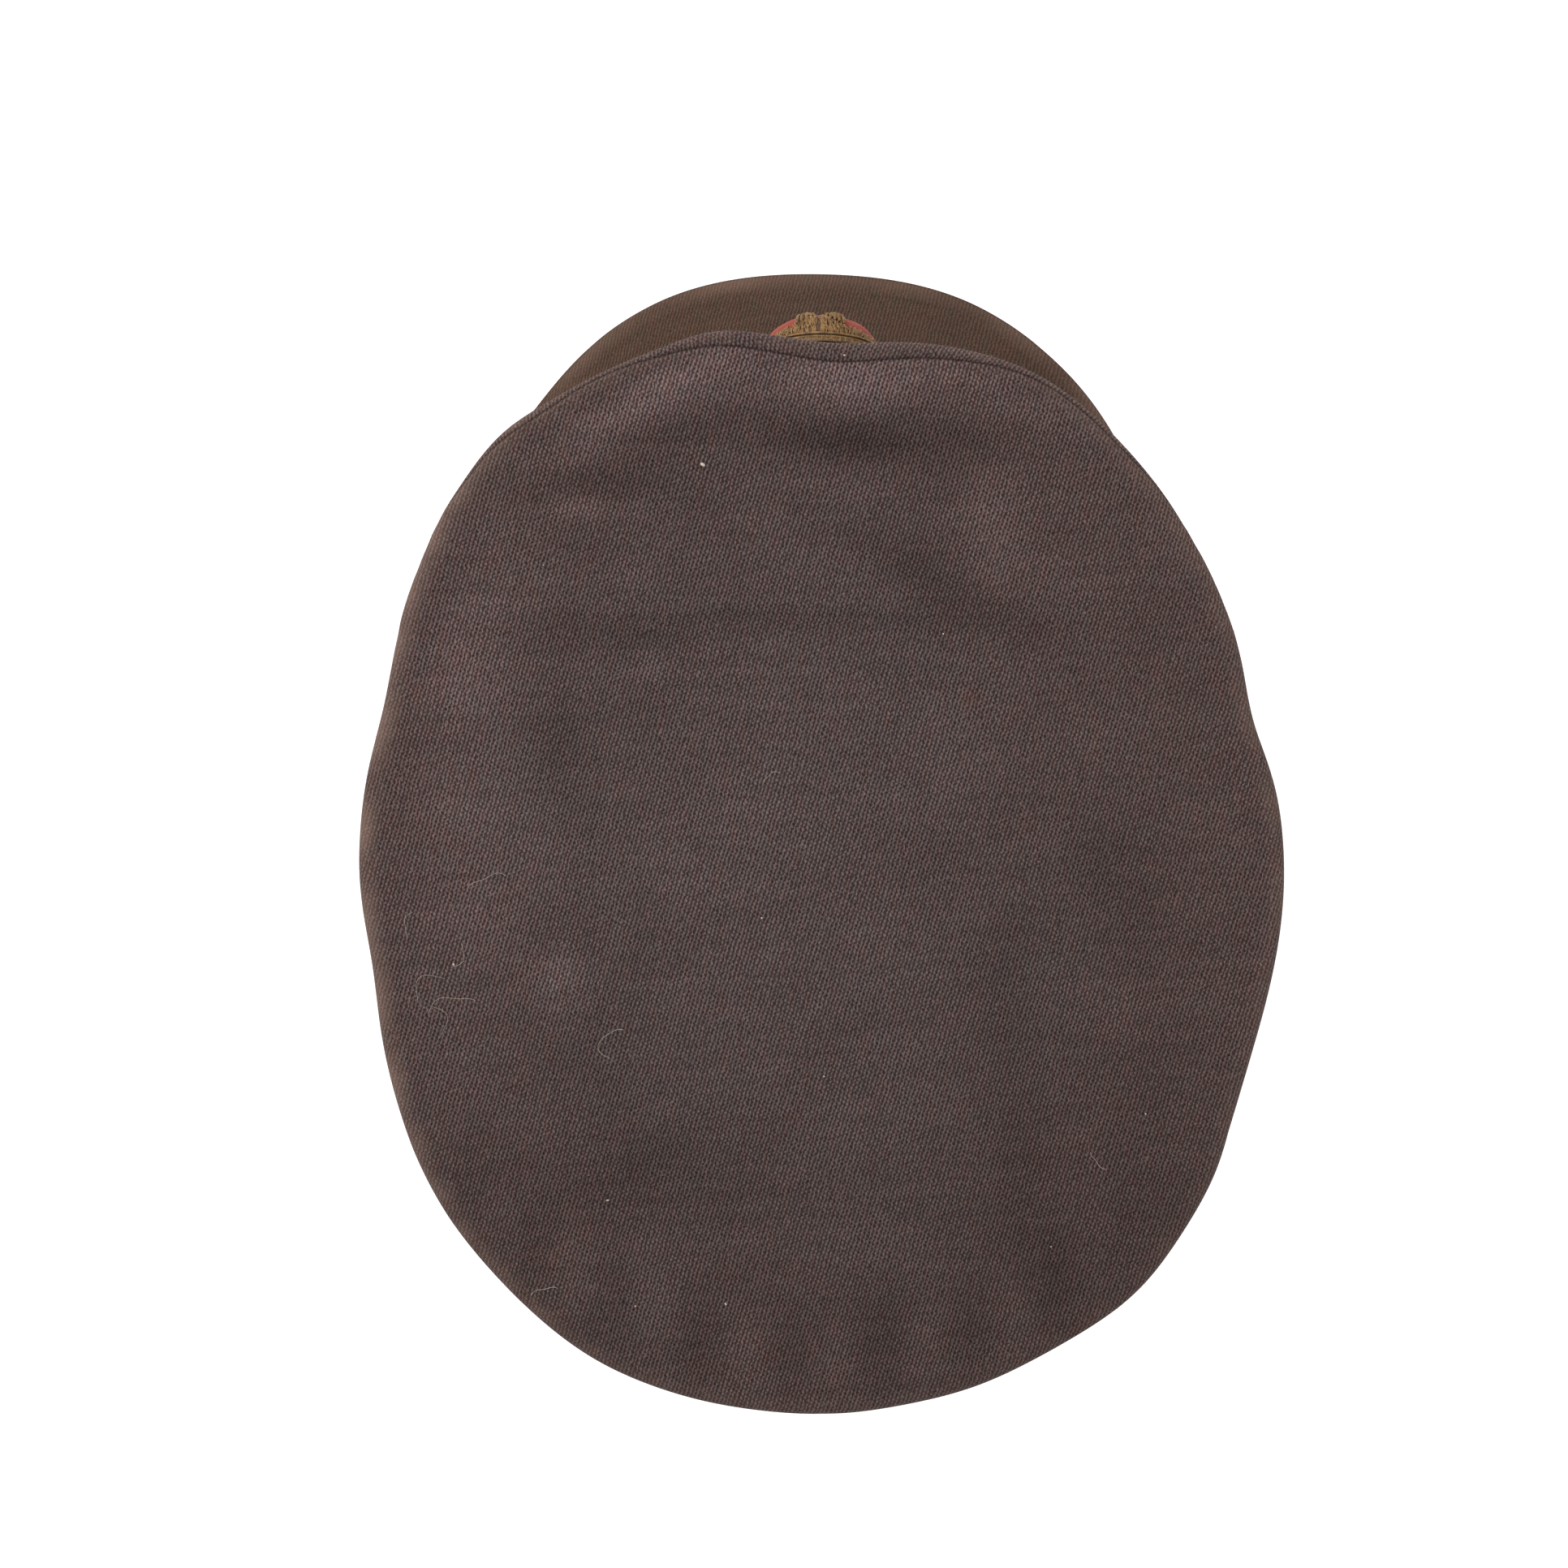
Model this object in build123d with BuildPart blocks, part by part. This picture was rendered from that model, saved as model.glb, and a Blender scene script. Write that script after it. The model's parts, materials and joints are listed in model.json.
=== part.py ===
"""Military peaked cap, standing on a table on the edge of its peak and the back of its band.

Every piece is modelled in the cap's own frame: the head opening's plane is XY, its centre is the
origin, +Z goes up through the crown, the peak faces -Y and the wearer's left is +X. Every oval is
drawn with tangent arcs, so that one oval inside another keeps an even wall. At the end the whole
cap leans back by LEAN, as it does when it is set down, and moves so that the middle of its
footprint is the origin. Millimetres throughout.
"""

import os
from math import atan, atan2, cos, degrees, radians, sin

from build123d import *

# Driving dimensions
BAND_HALF_LENGTH = 105.0
BAND_HALF_WIDTH = 88.0
BAND_HEIGHT = 42.0
CROWN_FRONT_Y = -126.0
CROWN_REAR_Y = 156.8
CROWN_FRONT_Z = 86.0
CROWN_REAR_Z = 64.0
CROWN_HALF_WIDTH = 118.0
PEAK_SLANT = 44.4
PEAK_SHOULDER = 2.0
PEAK_SHOULDER_ANGLE = 26.0
PEAK_SLOPE_FRONT = 46.0
PEAK_SLOPE_END = 38.0
PEAK_END_ANGLE = 70.0
LEAN = 8.65

# Thicknesses of cloth, leather and stiffeners
CLOTH = 1.2
FIBRE = 1.2
LEATHER = 1.1
LINING = 0.5
STRAP_LEATHER = 1.4

# The shape of the ovals: how far each end's arc centre lies from the middle, as a share of the
# difference between half length and half width
EVEN_END = 2.0
BLUNT_END = 1.2
HALFWAY_END = (EVEN_END + BLUNT_END) / 2

BAND_EXCESS = BAND_HALF_LENGTH - BAND_HALF_WIDTH
BAND_END_CENTRE = EVEN_END * BAND_EXCESS
BAND_END_RADIUS = BAND_HALF_LENGTH - BAND_END_CENTRE
BAND_SIDE_CENTRE = BAND_EXCESS * (2 * EVEN_END - 1) / (2 * (EVEN_END - 1))
BAND_SIDE_RADIUS = BAND_HALF_WIDTH + BAND_SIDE_CENTRE
BAND_END_ANGLE = degrees(atan2(BAND_SIDE_CENTRE, BAND_END_CENTRE))

# The crown's own plane, which falls towards the back
CROWN_LENGTH_Y = CROWN_REAR_Y - CROWN_FRONT_Y
CROWN_SLOPE = degrees(atan((CROWN_FRONT_Z - CROWN_REAR_Z) / CROWN_LENGTH_Y))
CROWN_HALF_LENGTH = CROWN_LENGTH_Y / 2 / cos(radians(CROWN_SLOPE))
CROWN_PLANE = Plane(
    origin=(0, (CROWN_FRONT_Y + CROWN_REAR_Y) / 2, (CROWN_FRONT_Z + CROWN_REAR_Z) / 2),
    x_dir=(1, 0, 0),
    z_dir=(0, sin(radians(CROWN_SLOPE)), cos(radians(CROWN_SLOPE))),
)
CROWN_ROLL = 4.0

# Halfway up the side wall: its front, back and half width
WAIST_FRONT = (-116.6, 62.0)
WAIST_REAR = (136.0, 51.0)
WAIST_HALF_WIDTH = 106.0
WAIST_SLOPE = degrees(atan((WAIST_FRONT[1] - WAIST_REAR[1]) / (WAIST_REAR[0] - WAIST_FRONT[0])))
WAIST_HALF_LENGTH = (WAIST_REAR[0] - WAIST_FRONT[0]) / 2 / cos(radians(WAIST_SLOPE))
WAIST_PLANE = Plane(
    origin=(0, (WAIST_FRONT[0] + WAIST_REAR[0]) / 2, (WAIST_FRONT[1] + WAIST_REAR[1]) / 2),
    x_dir=(1, 0, 0),
    z_dir=(0, sin(radians(WAIST_SLOPE)), cos(radians(WAIST_SLOPE))),
)
FLARE_Z = BAND_HEIGHT + 0.05
SIDE_SEAM_Y = 12.0

# Insets from the band's outer face to the outer face of each layer behind it
STIFFENER_INSET = CLOTH + 0.1
SWEATBAND_INSET = 3.7
SWEATBAND_HEIGHT = 36.0
LINING_INSET = 3.9
LINING_INSET_CROWN = 5.6
LINING_LIFT = 1.6
LINING_DEPTH = 4.6

WELT_RADIUS = 1.3
REED_RADIUS = 0.9

GROMMET_INSET = 3.0
GROMMET_DEPTH = 2.3
GROMMET_RADIUS = 1.2
GROMMET_GAP_ANGLE = 0.4
FERRULE_RADIUS = 1.65
FERRULE_BORE = 1.22
FERRULE_HALF_ANGLE = 6.0

STAY_WIDTH = 10.0
STAY_THICKNESS = 0.6
STAY_LINE = ((-101.85, 12), (-101.85, 42.5), (-108.1, 52.9), (-114.2, 63.25), (-121.6, 79))

BADGE_CENTRE = (0, -119.1, 64.3)
BADGE_LEAN = 27.0
BADGE_PATCH_HALF_WIDTH = 19.0
BADGE_PATCH_HALF_HEIGHT = 19.5
BADGE_PATCH_THICKNESS = 2.0
DOME_RADIUS = 16.0
DOME_HEIGHT = 8.0
BORDER_RADIUS = 2.2
BAR_WIDTH = 3.4
BAR_SPACING = 8.6
BAR_RISE = 0.8
PIN_RADIUS = 0.5
PIN_SPACING = 12.0
PIN_LENGTH = 0.9

# Chin strap: stand-off of each layer from the band's outer face
INNER_STRAP_OFFSET = 2.2
OUTER_STRAP_OFFSET = 3.8
STRAP_LOW = 5.0
STRAP_WIDTH = 12.0
STRAP_OVERLAP_ANGLE = 26.0
KEEPER_ANGLE = 16.0
KEEPER_LENGTH = 7.0
KEEPER_CLEARANCE = 0.25
KEEPER_INNER_OFFSET = 1.2
KEEPER_OUTER_WALL = 0.85

BUTTON_ANGLE = 73.0
BUTTON_HEIGHT = STRAP_LOW + STRAP_WIDTH / 2
BUTTON_SEAT = OUTER_STRAP_OFFSET + STRAP_LEATHER + 0.3
BUTTON_RADIUS = 7.5
BUTTON_DOME = 4.2
BUTTON_RIM = 1.0
SHANK_RADIUS = 1.3
SHANK_DEPTH = 3.4
RETAINER_RADIUS = 4.0
RETAINER_THICKNESS = 0.6
EYELET_BORE = 1.6
EYELET_TUBE = 2.3
EYELET_FLANGE = 3.8
EYELET_FLANGE_THICKNESS = 0.35
BAND_EYELET_HOLE = 2.4

PEAK_ROOT_INSET = 1.0
PEAK_ROOT_Z = -0.25
PEAK_COVER = 0.8
PEAK_CORE = 1.6
PEAK_LINING = 0.6
PEAK_GAP = 0.08
PEAK_SECTION_STEP = 10

SHIELD_HALF_LENGTH = 62.0
SHIELD_HALF_WIDTH = 44.0
SHIELD_THICKNESS = 0.4


# Ovals


def oval(half_length, half_width, front=EVEN_END, rear=EVEN_END):
    """Draws a closed oval of tangent arcs in the current line, long along Y."""
    excess = half_length - half_width
    ends = []
    for share in (front, rear):
        end_centre = share * excess
        side_centre = excess * (2 * share - 1) / (2 * (share - 1))
        ends.append((end_centre, side_centre, degrees(atan2(side_centre, end_centre))))
    (front_y, front_x, front_turn), (rear_y, rear_x, rear_turn) = ends
    CenterArc((0, -front_y), half_length - front_y, -90 - front_turn, 2 * front_turn)
    CenterArc((-front_x, 0), half_width + front_x, -90 + front_turn, 90 - front_turn)
    CenterArc((-rear_x, 0), half_width + rear_x, 0, 90 - rear_turn)
    CenterArc((0, rear_y), half_length - rear_y, 90 - rear_turn, 2 * rear_turn)
    CenterArc((rear_x, 0), half_width + rear_x, 90 + rear_turn, 90 - rear_turn)
    CenterArc((front_x, 0), half_width + front_x, 180, 90 - front_turn)


def band_oval(inset):
    """Draws the band's oval, inset from its outer face."""
    oval(BAND_HALF_LENGTH - inset, BAND_HALF_WIDTH - inset)


def crown_oval(inset):
    """Draws the crown's rim, inset from its outer edge."""
    oval(CROWN_HALF_LENGTH - inset, CROWN_HALF_WIDTH - inset, BLUNT_END, BLUNT_END)


def waist_oval(inset):
    """Draws the side wall's oval halfway up, inset from its outer face."""
    oval(WAIST_HALF_LENGTH - inset, WAIST_HALF_WIDTH - inset, HALFWAY_END, HALFWAY_END)


def outward(angle):
    """The band's outward normal; angle is 0 at the front and grows towards the wearer's left."""
    return Vector(sin(radians(angle)), -cos(radians(angle)), 0)


def on_band(angle, offset, z=0.0):
    """The point on the band's oval whose normal has that angle, moved out by offset."""
    if abs(angle) <= BAND_END_ANGLE:
        centre = Vector(0, -BAND_END_CENTRE, z)
        return centre + outward(angle) * (BAND_END_RADIUS + offset)
    side = 1 if angle > 0 else -1
    centre = Vector(-side * BAND_SIDE_CENTRE, 0, z)
    return centre + outward(angle) * (BAND_SIDE_RADIUS + offset)


def cap_outline(base, radius, height, rise=0.0):
    """Draws half a spherical cap's section beside the Z axis, rise larger than radius and height."""
    ball = (radius**2 + height**2) / (2 * height)
    centre = base + height - ball
    edge = ((ball + rise) ** 2 - (base - centre) ** 2) ** 0.5
    start = degrees(atan2(base - centre, edge))
    CenterArc((0, centre), ball + rise, start, 90 - start)
    Line((0, base + height + rise), (0, base))
    Line((0, base), (edge, base))


def ring(outer_inset, inner_inset, low, high):
    """An upright oval ring between two insets from the band's outer face."""
    with BuildPart() as body:
        with BuildSketch(Plane.XY.offset(low)):
            with BuildLine():
                band_oval(outer_inset)
            make_face()
            with BuildLine():
                band_oval(inner_inset)
            make_face(mode=Mode.SUBTRACT)
        extrude(amount=high - low)
    return body.part


def cord_ring(inset, z, radius):
    """A round cord that follows the band's oval."""
    with BuildPart() as body:
        with BuildLine(Plane.XY.offset(z)) as path:
            band_oval(inset)
        with BuildSketch(Plane(origin=path.line @ 0, z_dir=path.line % 0)):
            Circle(radius)
        sweep(path=path.line)
    return body.part


def flared_solid(inset, crown_inset, crown_depth, lift):
    """A solid that flares from the band's top to just below the crown."""
    with BuildPart() as body:
        with BuildSketch(Plane.XY.offset(FLARE_Z + lift)):
            with BuildLine():
                band_oval(inset)
            make_face()
        with BuildSketch(Plane(Pos(0, 0, lift) * WAIST_PLANE.location)):
            with BuildLine():
                waist_oval(inset)
            make_face()
        with BuildSketch(Plane(Pos(0, 0, lift) * CROWN_PLANE.location).offset(-crown_depth)):
            with BuildLine():
                crown_oval(crown_inset)
            make_face()
        loft()
    return body.part


def flared_shell(inset, crown_inset, crown_depth, lift, thickness):
    """A flared wall of even thickness, whether it stands steep as in front or lies flat as behind."""
    step = 0.75 * thickness
    with BuildPart() as body:
        add(flared_solid(inset, crown_inset, crown_depth, lift))
        add(
            flared_solid(inset + step, crown_inset + step, crown_depth, lift + step),
            mode=Mode.SUBTRACT,
        )
        with BuildSketch(Plane.XY.offset(FLARE_Z + lift - 1)):
            with BuildLine():
                band_oval(inset + thickness)
            make_face()
        extrude(amount=1 + step + 0.3, mode=Mode.SUBTRACT)
    return body.part


# Band

button_planes = {
    side: Plane(
        origin=on_band(sign * BUTTON_ANGLE, 0, BUTTON_HEIGHT),
        x_dir=(0, 0, 1),
        z_dir=outward(sign * BUTTON_ANGLE),
    )
    for side, sign in (("left", 1), ("right", -1))
}

with BuildPart() as band_cloth:
    add(ring(0, CLOTH, 1.0, BAND_HEIGHT))
    for plane in button_planes.values():
        with BuildSketch(plane.offset(2)):
            Circle(BAND_EYELET_HOLE)
        extrude(amount=-6, mode=Mode.SUBTRACT)

with BuildPart() as band_stiffener:
    add(ring(STIFFENER_INSET, STIFFENER_INSET + FIBRE, 2.0, BAND_HEIGHT - 1))
    for plane in button_planes.values():
        with BuildSketch(plane.offset(2)):
            Circle(BAND_EYELET_HOLE)
        extrude(amount=-6, mode=Mode.SUBTRACT)

with BuildPart() as sweatband:
    add(ring(SWEATBAND_INSET, SWEATBAND_INSET + LEATHER, 1.9, SWEATBAND_HEIGHT))

sweatband_reed = cord_ring(SWEATBAND_INSET + 0.2, REED_RADIUS, REED_RADIUS)
band_upper_welt = cord_ring(-WELT_RADIUS - 0.05, BAND_HEIGHT - 1.05, WELT_RADIUS)
band_lower_welt = cord_ring(-WELT_RADIUS - 0.05, WELT_RADIUS, WELT_RADIUS)

# The bow that hides the sweatband's join at the back, just inside it
BOW_LOOP_HALF_LENGTH = 6.0
BOW_LOOP_HALF_HEIGHT = 3.0
BOW_TAPE = 0.6
BOW_DEPTH = 1.6
bow_y = BAND_HALF_LENGTH - SWEATBAND_INSET - LEATHER - 1.9
with BuildPart() as sweatband_bow:
    with BuildSketch(Plane(origin=(0, bow_y, 8), x_dir=(1, 0, 0), z_dir=(0, -1, 0))):
        with Locations((-BOW_LOOP_HALF_LENGTH - 1.5, 0), (BOW_LOOP_HALF_LENGTH + 1.5, 0)):
            Ellipse(BOW_LOOP_HALF_LENGTH, BOW_LOOP_HALF_HEIGHT)
            Ellipse(
                BOW_LOOP_HALF_LENGTH - BOW_TAPE,
                BOW_LOOP_HALF_HEIGHT - BOW_TAPE,
                mode=Mode.SUBTRACT,
            )
        Circle(2.2)
    extrude(amount=BOW_DEPTH)


# Crown

crown_wall = flared_shell(0, 0.2, CROWN_ROLL + 0.05, 0, CLOTH)

SEAM_PLANE = Plane(origin=(0, SIDE_SEAM_Y, 0), z_dir=(0, -1, 0))
with BuildPart() as crown_front_panel:
    add(crown_wall)
    split(bisect_by=SEAM_PLANE, keep=Keep.TOP)

with BuildPart() as crown_rear_panel_left:
    add(crown_wall)
    split(bisect_by=SEAM_PLANE, keep=Keep.BOTTOM)
    split(bisect_by=Plane.YZ, keep=Keep.TOP)

with BuildPart() as crown_rear_panel_right:
    add(crown_wall)
    split(bisect_by=SEAM_PLANE, keep=Keep.BOTTOM)
    split(bisect_by=Plane.YZ, keep=Keep.BOTTOM)

with BuildPart() as crown_top:
    with BuildSketch(CROWN_PLANE.offset(-CROWN_ROLL)):
        with BuildLine():
            crown_oval(0)
        make_face()
    extrude(amount=CROWN_ROLL + CLOTH)
    crown_up = Axis(CROWN_PLANE.origin, CROWN_PLANE.z_dir)
    fillet(crown_top.faces().sort_by(crown_up)[-1].edges(), radius=3.6)
    with BuildSketch(CROWN_PLANE.offset(-CROWN_ROLL)):
        with BuildLine():
            crown_oval(CLOTH)
        make_face()
    extrude(amount=CROWN_ROLL, mode=Mode.SUBTRACT)

GROMMET_PLANE = CROWN_PLANE.offset(-GROMMET_DEPTH)
crown_excess = CROWN_HALF_LENGTH - CROWN_HALF_WIDTH
rear_centre = BLUNT_END * crown_excess
grommet_rear_radius = CROWN_HALF_LENGTH - GROMMET_INSET - rear_centre

with BuildPart() as grommet_ring:
    with BuildLine(GROMMET_PLANE) as path:
        crown_oval(GROMMET_INSET)
    with BuildSketch(Plane(origin=path.line @ 0, z_dir=path.line % 0)):
        Circle(GROMMET_RADIUS)
    sweep(path=path.line)

# The wire's two ends meet inside the ferrule, at the middle of the back
with BuildPart() as grommet_wire:
    add(grommet_ring.part)
    with BuildSketch(GROMMET_PLANE.offset(-5)):
        with Locations((0, CROWN_HALF_LENGTH - GROMMET_INSET)):
            Rectangle(2 * grommet_rear_radius * sin(radians(GROMMET_GAP_ANGLE)), 8)
    extrude(amount=10, mode=Mode.SUBTRACT)

with BuildPart() as grommet_ferrule:
    with BuildLine(GROMMET_PLANE) as path:
        CenterArc((0, rear_centre), grommet_rear_radius, 90 - FERRULE_HALF_ANGLE, 2 * FERRULE_HALF_ANGLE)
    with BuildSketch(Plane(origin=path.line @ 0, z_dir=path.line % 0)):
        Circle(FERRULE_RADIUS)
        Circle(FERRULE_BORE, mode=Mode.SUBTRACT)
    sweep(path=path.line)

# A flat spring that holds the front up, between wall and lining
with BuildPart() as front_stay:
    with BuildSketch(Plane.YZ):
        with BuildLine():
            stay_line = Polyline(*STAY_LINE)
            offset(stay_line, amount=STAY_THICKNESS / 2)
        make_face()
    extrude(amount=STAY_WIDTH / 2, both=True)


# Lining

with BuildPart() as lining_side:
    add(ring(LINING_INSET, LINING_INSET + LINING, BAND_HEIGHT - 5, FLARE_Z + LINING_LIFT))
    add(flared_shell(LINING_INSET, LINING_INSET_CROWN, LINING_DEPTH + LINING_LIFT + 0.05, LINING_LIFT, LINING))

with BuildPart() as lining_top:
    with BuildSketch(CROWN_PLANE.offset(-LINING_DEPTH)):
        with BuildLine():
            crown_oval(LINING_INSET_CROWN)
        make_face()
    extrude(amount=LINING)

with BuildPart() as sweat_shield:
    with BuildSketch(CROWN_PLANE.offset(-LINING_DEPTH - 0.05)):
        Ellipse(SHIELD_HALF_WIDTH, SHIELD_HALF_LENGTH)
    extrude(amount=-SHIELD_THICKNESS)


# Peak


def peak_slope(angle):
    """The peak's fall, steepest at the front."""
    share = (angle / PEAK_END_ANGLE) ** 2
    return PEAK_SLOPE_FRONT + (PEAK_SLOPE_END - PEAK_SLOPE_FRONT) * share


def peak_length(angle):
    """The peak's length down its slope: most at its shoulders, and running out towards its ends."""
    share = min(abs(angle) / (PEAK_END_ANGLE + 0.4), 1)
    turn = min(abs(angle) / PEAK_SHOULDER_ANGLE, 1)
    shoulder = PEAK_SHOULDER * turn**2 * (3 - 2 * turn)
    return (PEAK_SLANT + shoulder) * (1 - share**3.4) ** 0.5


def peak_sheet(outline):
    """A sheet of the peak. outline gives its section's corners, along and above its slope, from its length."""
    with BuildPart() as body:
        for angle in range(-int(PEAK_END_ANGLE), int(PEAK_END_ANGLE) + 1, PEAK_SECTION_STEP):
            slope = radians(peak_slope(angle))
            down = outward(angle) * cos(slope) - Vector(0, 0, sin(slope))
            plane = Plane(
                origin=on_band(angle, -PEAK_ROOT_INSET, PEAK_ROOT_Z),
                x_dir=down,
                z_dir=down.cross(outward(angle) * sin(slope) + Vector(0, 0, cos(slope))),
            )
            with BuildSketch(plane):
                with BuildLine():
                    Polyline(*outline(peak_length(angle)), close=True)
                make_face()
        loft()
    return body.part


def cover_outline(length):
    """The cloth on top, turned down round the board's edge."""
    full = length + PEAK_COVER
    depth = -PEAK_COVER - PEAK_CORE - PEAK_LINING
    return (0, 0), (full, 0), (full, depth), (length, depth), (length, -PEAK_COVER), (0, -PEAK_COVER)


def core_outline(length):
    """The board."""
    top = -PEAK_COVER - PEAK_GAP
    bottom = -PEAK_COVER - PEAK_CORE
    return (0, top), (length - PEAK_GAP, top), (length - PEAK_GAP, bottom), (0, bottom)


def lining_outline(length):
    """The leathercloth underneath."""
    top = -PEAK_COVER - PEAK_CORE - PEAK_GAP
    bottom = -PEAK_COVER - PEAK_CORE - PEAK_LINING
    return (0, top), (length - PEAK_GAP, top), (length - PEAK_GAP, bottom), (0, bottom)


peak_cover = peak_sheet(cover_outline)
peak_core = peak_sheet(core_outline)
peak_lining = peak_sheet(lining_outline)


# Badge: a padded roundel with a bullion border and two raised bars, of no particular service

badge_normal = Vector(0, -cos(radians(BADGE_LEAN)), -sin(radians(BADGE_LEAN)))
BADGE_PLANE = Plane(origin=BADGE_CENTRE, x_dir=(1, 0, 0), z_dir=badge_normal)


def dome(rise):
    """A solid dome on the badge's patch, rise larger than the padded field."""
    with BuildPart() as body:
        with BuildSketch(Plane.XZ):
            with BuildLine():
                cap_outline(BADGE_PATCH_THICKNESS, DOME_RADIUS, DOME_HEIGHT, rise)
            make_face()
        revolve(axis=Axis.Z)
    return body.part


with BuildPart() as badge_backing:
    with BuildSketch():
        Ellipse(BADGE_PATCH_HALF_WIDTH, BADGE_PATCH_HALF_HEIGHT)
    extrude(amount=BADGE_PATCH_THICKNESS)
    fillet(badge_backing.faces().sort_by(Axis.Z)[-1].edges(), radius=0.6)

with BuildPart() as badge_border:
    with BuildSketch(Plane.XZ):
        with Locations((DOME_RADIUS, BADGE_PATCH_THICKNESS)):
            Circle(BORDER_RADIUS)
        with Locations((DOME_RADIUS, BADGE_PATCH_THICKNESS - 2 * BORDER_RADIUS)):
            Rectangle(6 * BORDER_RADIUS, 4 * BORDER_RADIUS, mode=Mode.SUBTRACT)
    revolve(axis=Axis.Z)

with BuildPart() as badge_dome:
    add(dome(0))
    add(badge_border.part, mode=Mode.SUBTRACT)

with BuildPart() as badge_bars:
    with BuildSketch(Plane.XY.offset(BADGE_PATCH_THICKNESS)):
        with GridLocations(BAR_SPACING, 0, 2, 1):
            Rectangle(BAR_WIDTH, 2 * DOME_RADIUS - 0.5)
    extrude(amount=DOME_HEIGHT + 2)
    add(dome(BAR_RISE), mode=Mode.INTERSECT)
    add(dome(0), mode=Mode.SUBTRACT)
    add(badge_border.part, mode=Mode.SUBTRACT)

# Two short pins behind the badge, which stop at the wall's cloth
with BuildPart() as badge_pins:
    with BuildSketch():
        with GridLocations(PIN_SPACING, 0, 2, 1):
            Circle(PIN_RADIUS)
    extrude(amount=-PIN_LENGTH)


# Chin strap


def strap_strip(offset_from_band, thickness, start, end, low, width):
    """A strip that follows the band between two normal angles, start on the right and end on the left."""
    with BuildPart() as body:
        with BuildSketch(Plane.XY.offset(low)):
            with BuildLine():
                for reach in (offset_from_band, offset_from_band + thickness):
                    front_start = max(start, -BAND_END_ANGLE)
                    front_end = min(end, BAND_END_ANGLE)
                    if start < -BAND_END_ANGLE:
                        CenterArc(
                            (BAND_SIDE_CENTRE, 0),
                            BAND_SIDE_RADIUS + reach,
                            start - 90,
                            -BAND_END_ANGLE - start,
                        )
                    CenterArc(
                        (0, -BAND_END_CENTRE),
                        BAND_END_RADIUS + reach,
                        front_start - 90,
                        front_end - front_start,
                    )
                    if end > BAND_END_ANGLE:
                        CenterArc(
                            (-BAND_SIDE_CENTRE, 0),
                            BAND_SIDE_RADIUS + reach,
                            BAND_END_ANGLE - 90,
                            end - BAND_END_ANGLE,
                        )
                for angle in (start, end):
                    inner = on_band(angle, offset_from_band)
                    outer = on_band(angle, offset_from_band + thickness)
                    Line((inner.X, inner.Y), (outer.X, outer.Y))
            make_face()
        extrude(amount=width)
    return body.part


STRAP_EYE = 2.3
STRAP_END_ANGLE = BUTTON_ANGLE + 3.6
STRAP_CORNER = 4.5


def round_ends(strap, left_end):
    """The strip's edges that run through its thickness at one end."""
    edges = strap.edges().filter_by(lambda edge: abs(edge.length - STRAP_LEATHER) < 0.01)
    return edges.sort_by(Axis.X)[-2:] if left_end else edges.sort_by(Axis.X)[:2]


with BuildPart() as chin_strap_inner:
    add(
        strap_strip(
            INNER_STRAP_OFFSET,
            STRAP_LEATHER,
            -STRAP_OVERLAP_ANGLE,
            STRAP_END_ANGLE,
            STRAP_LOW,
            STRAP_WIDTH,
        )
    )
    fillet(round_ends(chin_strap_inner.part, True), radius=STRAP_CORNER)
    fillet(round_ends(chin_strap_inner.part, False), radius=STRAP_CORNER)
    with BuildSketch(button_planes["left"].offset(10)):
        Circle(STRAP_EYE)
    extrude(amount=-12, mode=Mode.SUBTRACT)

with BuildPart() as chin_strap_outer:
    add(
        strap_strip(
            OUTER_STRAP_OFFSET,
            STRAP_LEATHER,
            -STRAP_END_ANGLE,
            STRAP_OVERLAP_ANGLE,
            STRAP_LOW,
            STRAP_WIDTH,
        )
    )
    fillet(round_ends(chin_strap_outer.part, True), radius=STRAP_CORNER)
    fillet(round_ends(chin_strap_outer.part, False), radius=STRAP_CORNER)
    with BuildSketch(button_planes["right"].offset(10)):
        Circle(STRAP_EYE)
    extrude(amount=-12, mode=Mode.SUBTRACT)


def keeper(middle):
    """A leather loop round both strap layers, whose middle lies at that angle from the front."""
    half_angle = degrees(KEEPER_LENGTH / 2 / (BAND_END_RADIUS + OUTER_STRAP_OFFSET))
    reach = OUTER_STRAP_OFFSET + STRAP_LEATHER + KEEPER_CLEARANCE
    inner = INNER_STRAP_OFFSET - KEEPER_CLEARANCE
    wall = KEEPER_OUTER_WALL
    with BuildPart() as body:
        add(
            strap_strip(
                KEEPER_INNER_OFFSET,
                reach + wall - KEEPER_INNER_OFFSET,
                middle - half_angle,
                middle + half_angle,
                STRAP_LOW - KEEPER_CLEARANCE - wall,
                STRAP_WIDTH + 2 * KEEPER_CLEARANCE + 2 * wall,
            )
        )
        add(
            strap_strip(
                inner,
                reach - inner,
                middle - half_angle - 2,
                middle + half_angle + 2,
                STRAP_LOW - KEEPER_CLEARANCE,
                STRAP_WIDTH + 2 * KEEPER_CLEARANCE,
            ),
            mode=Mode.SUBTRACT,
        )
    return body.part


keeper_left = keeper(KEEPER_ANGLE)
keeper_right = keeper(-KEEPER_ANGLE)


# Side buttons


with BuildPart() as button_front:
    with BuildSketch(Plane.XZ):
        with BuildLine():
            cap_outline(0.5 + BUTTON_RIM, BUTTON_RADIUS, BUTTON_DOME - BUTTON_RIM)
        make_face()
    revolve(axis=Axis.Z)
    with BuildSketch(Plane.XY.offset(0.5)):
        Circle(BUTTON_RADIUS)
    extrude(amount=BUTTON_RIM)
    with BuildSketch(Plane.XY.offset(0.5)):
        Circle(BUTTON_RADIUS - 0.6)
    extrude(amount=0.7, mode=Mode.SUBTRACT)

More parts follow.
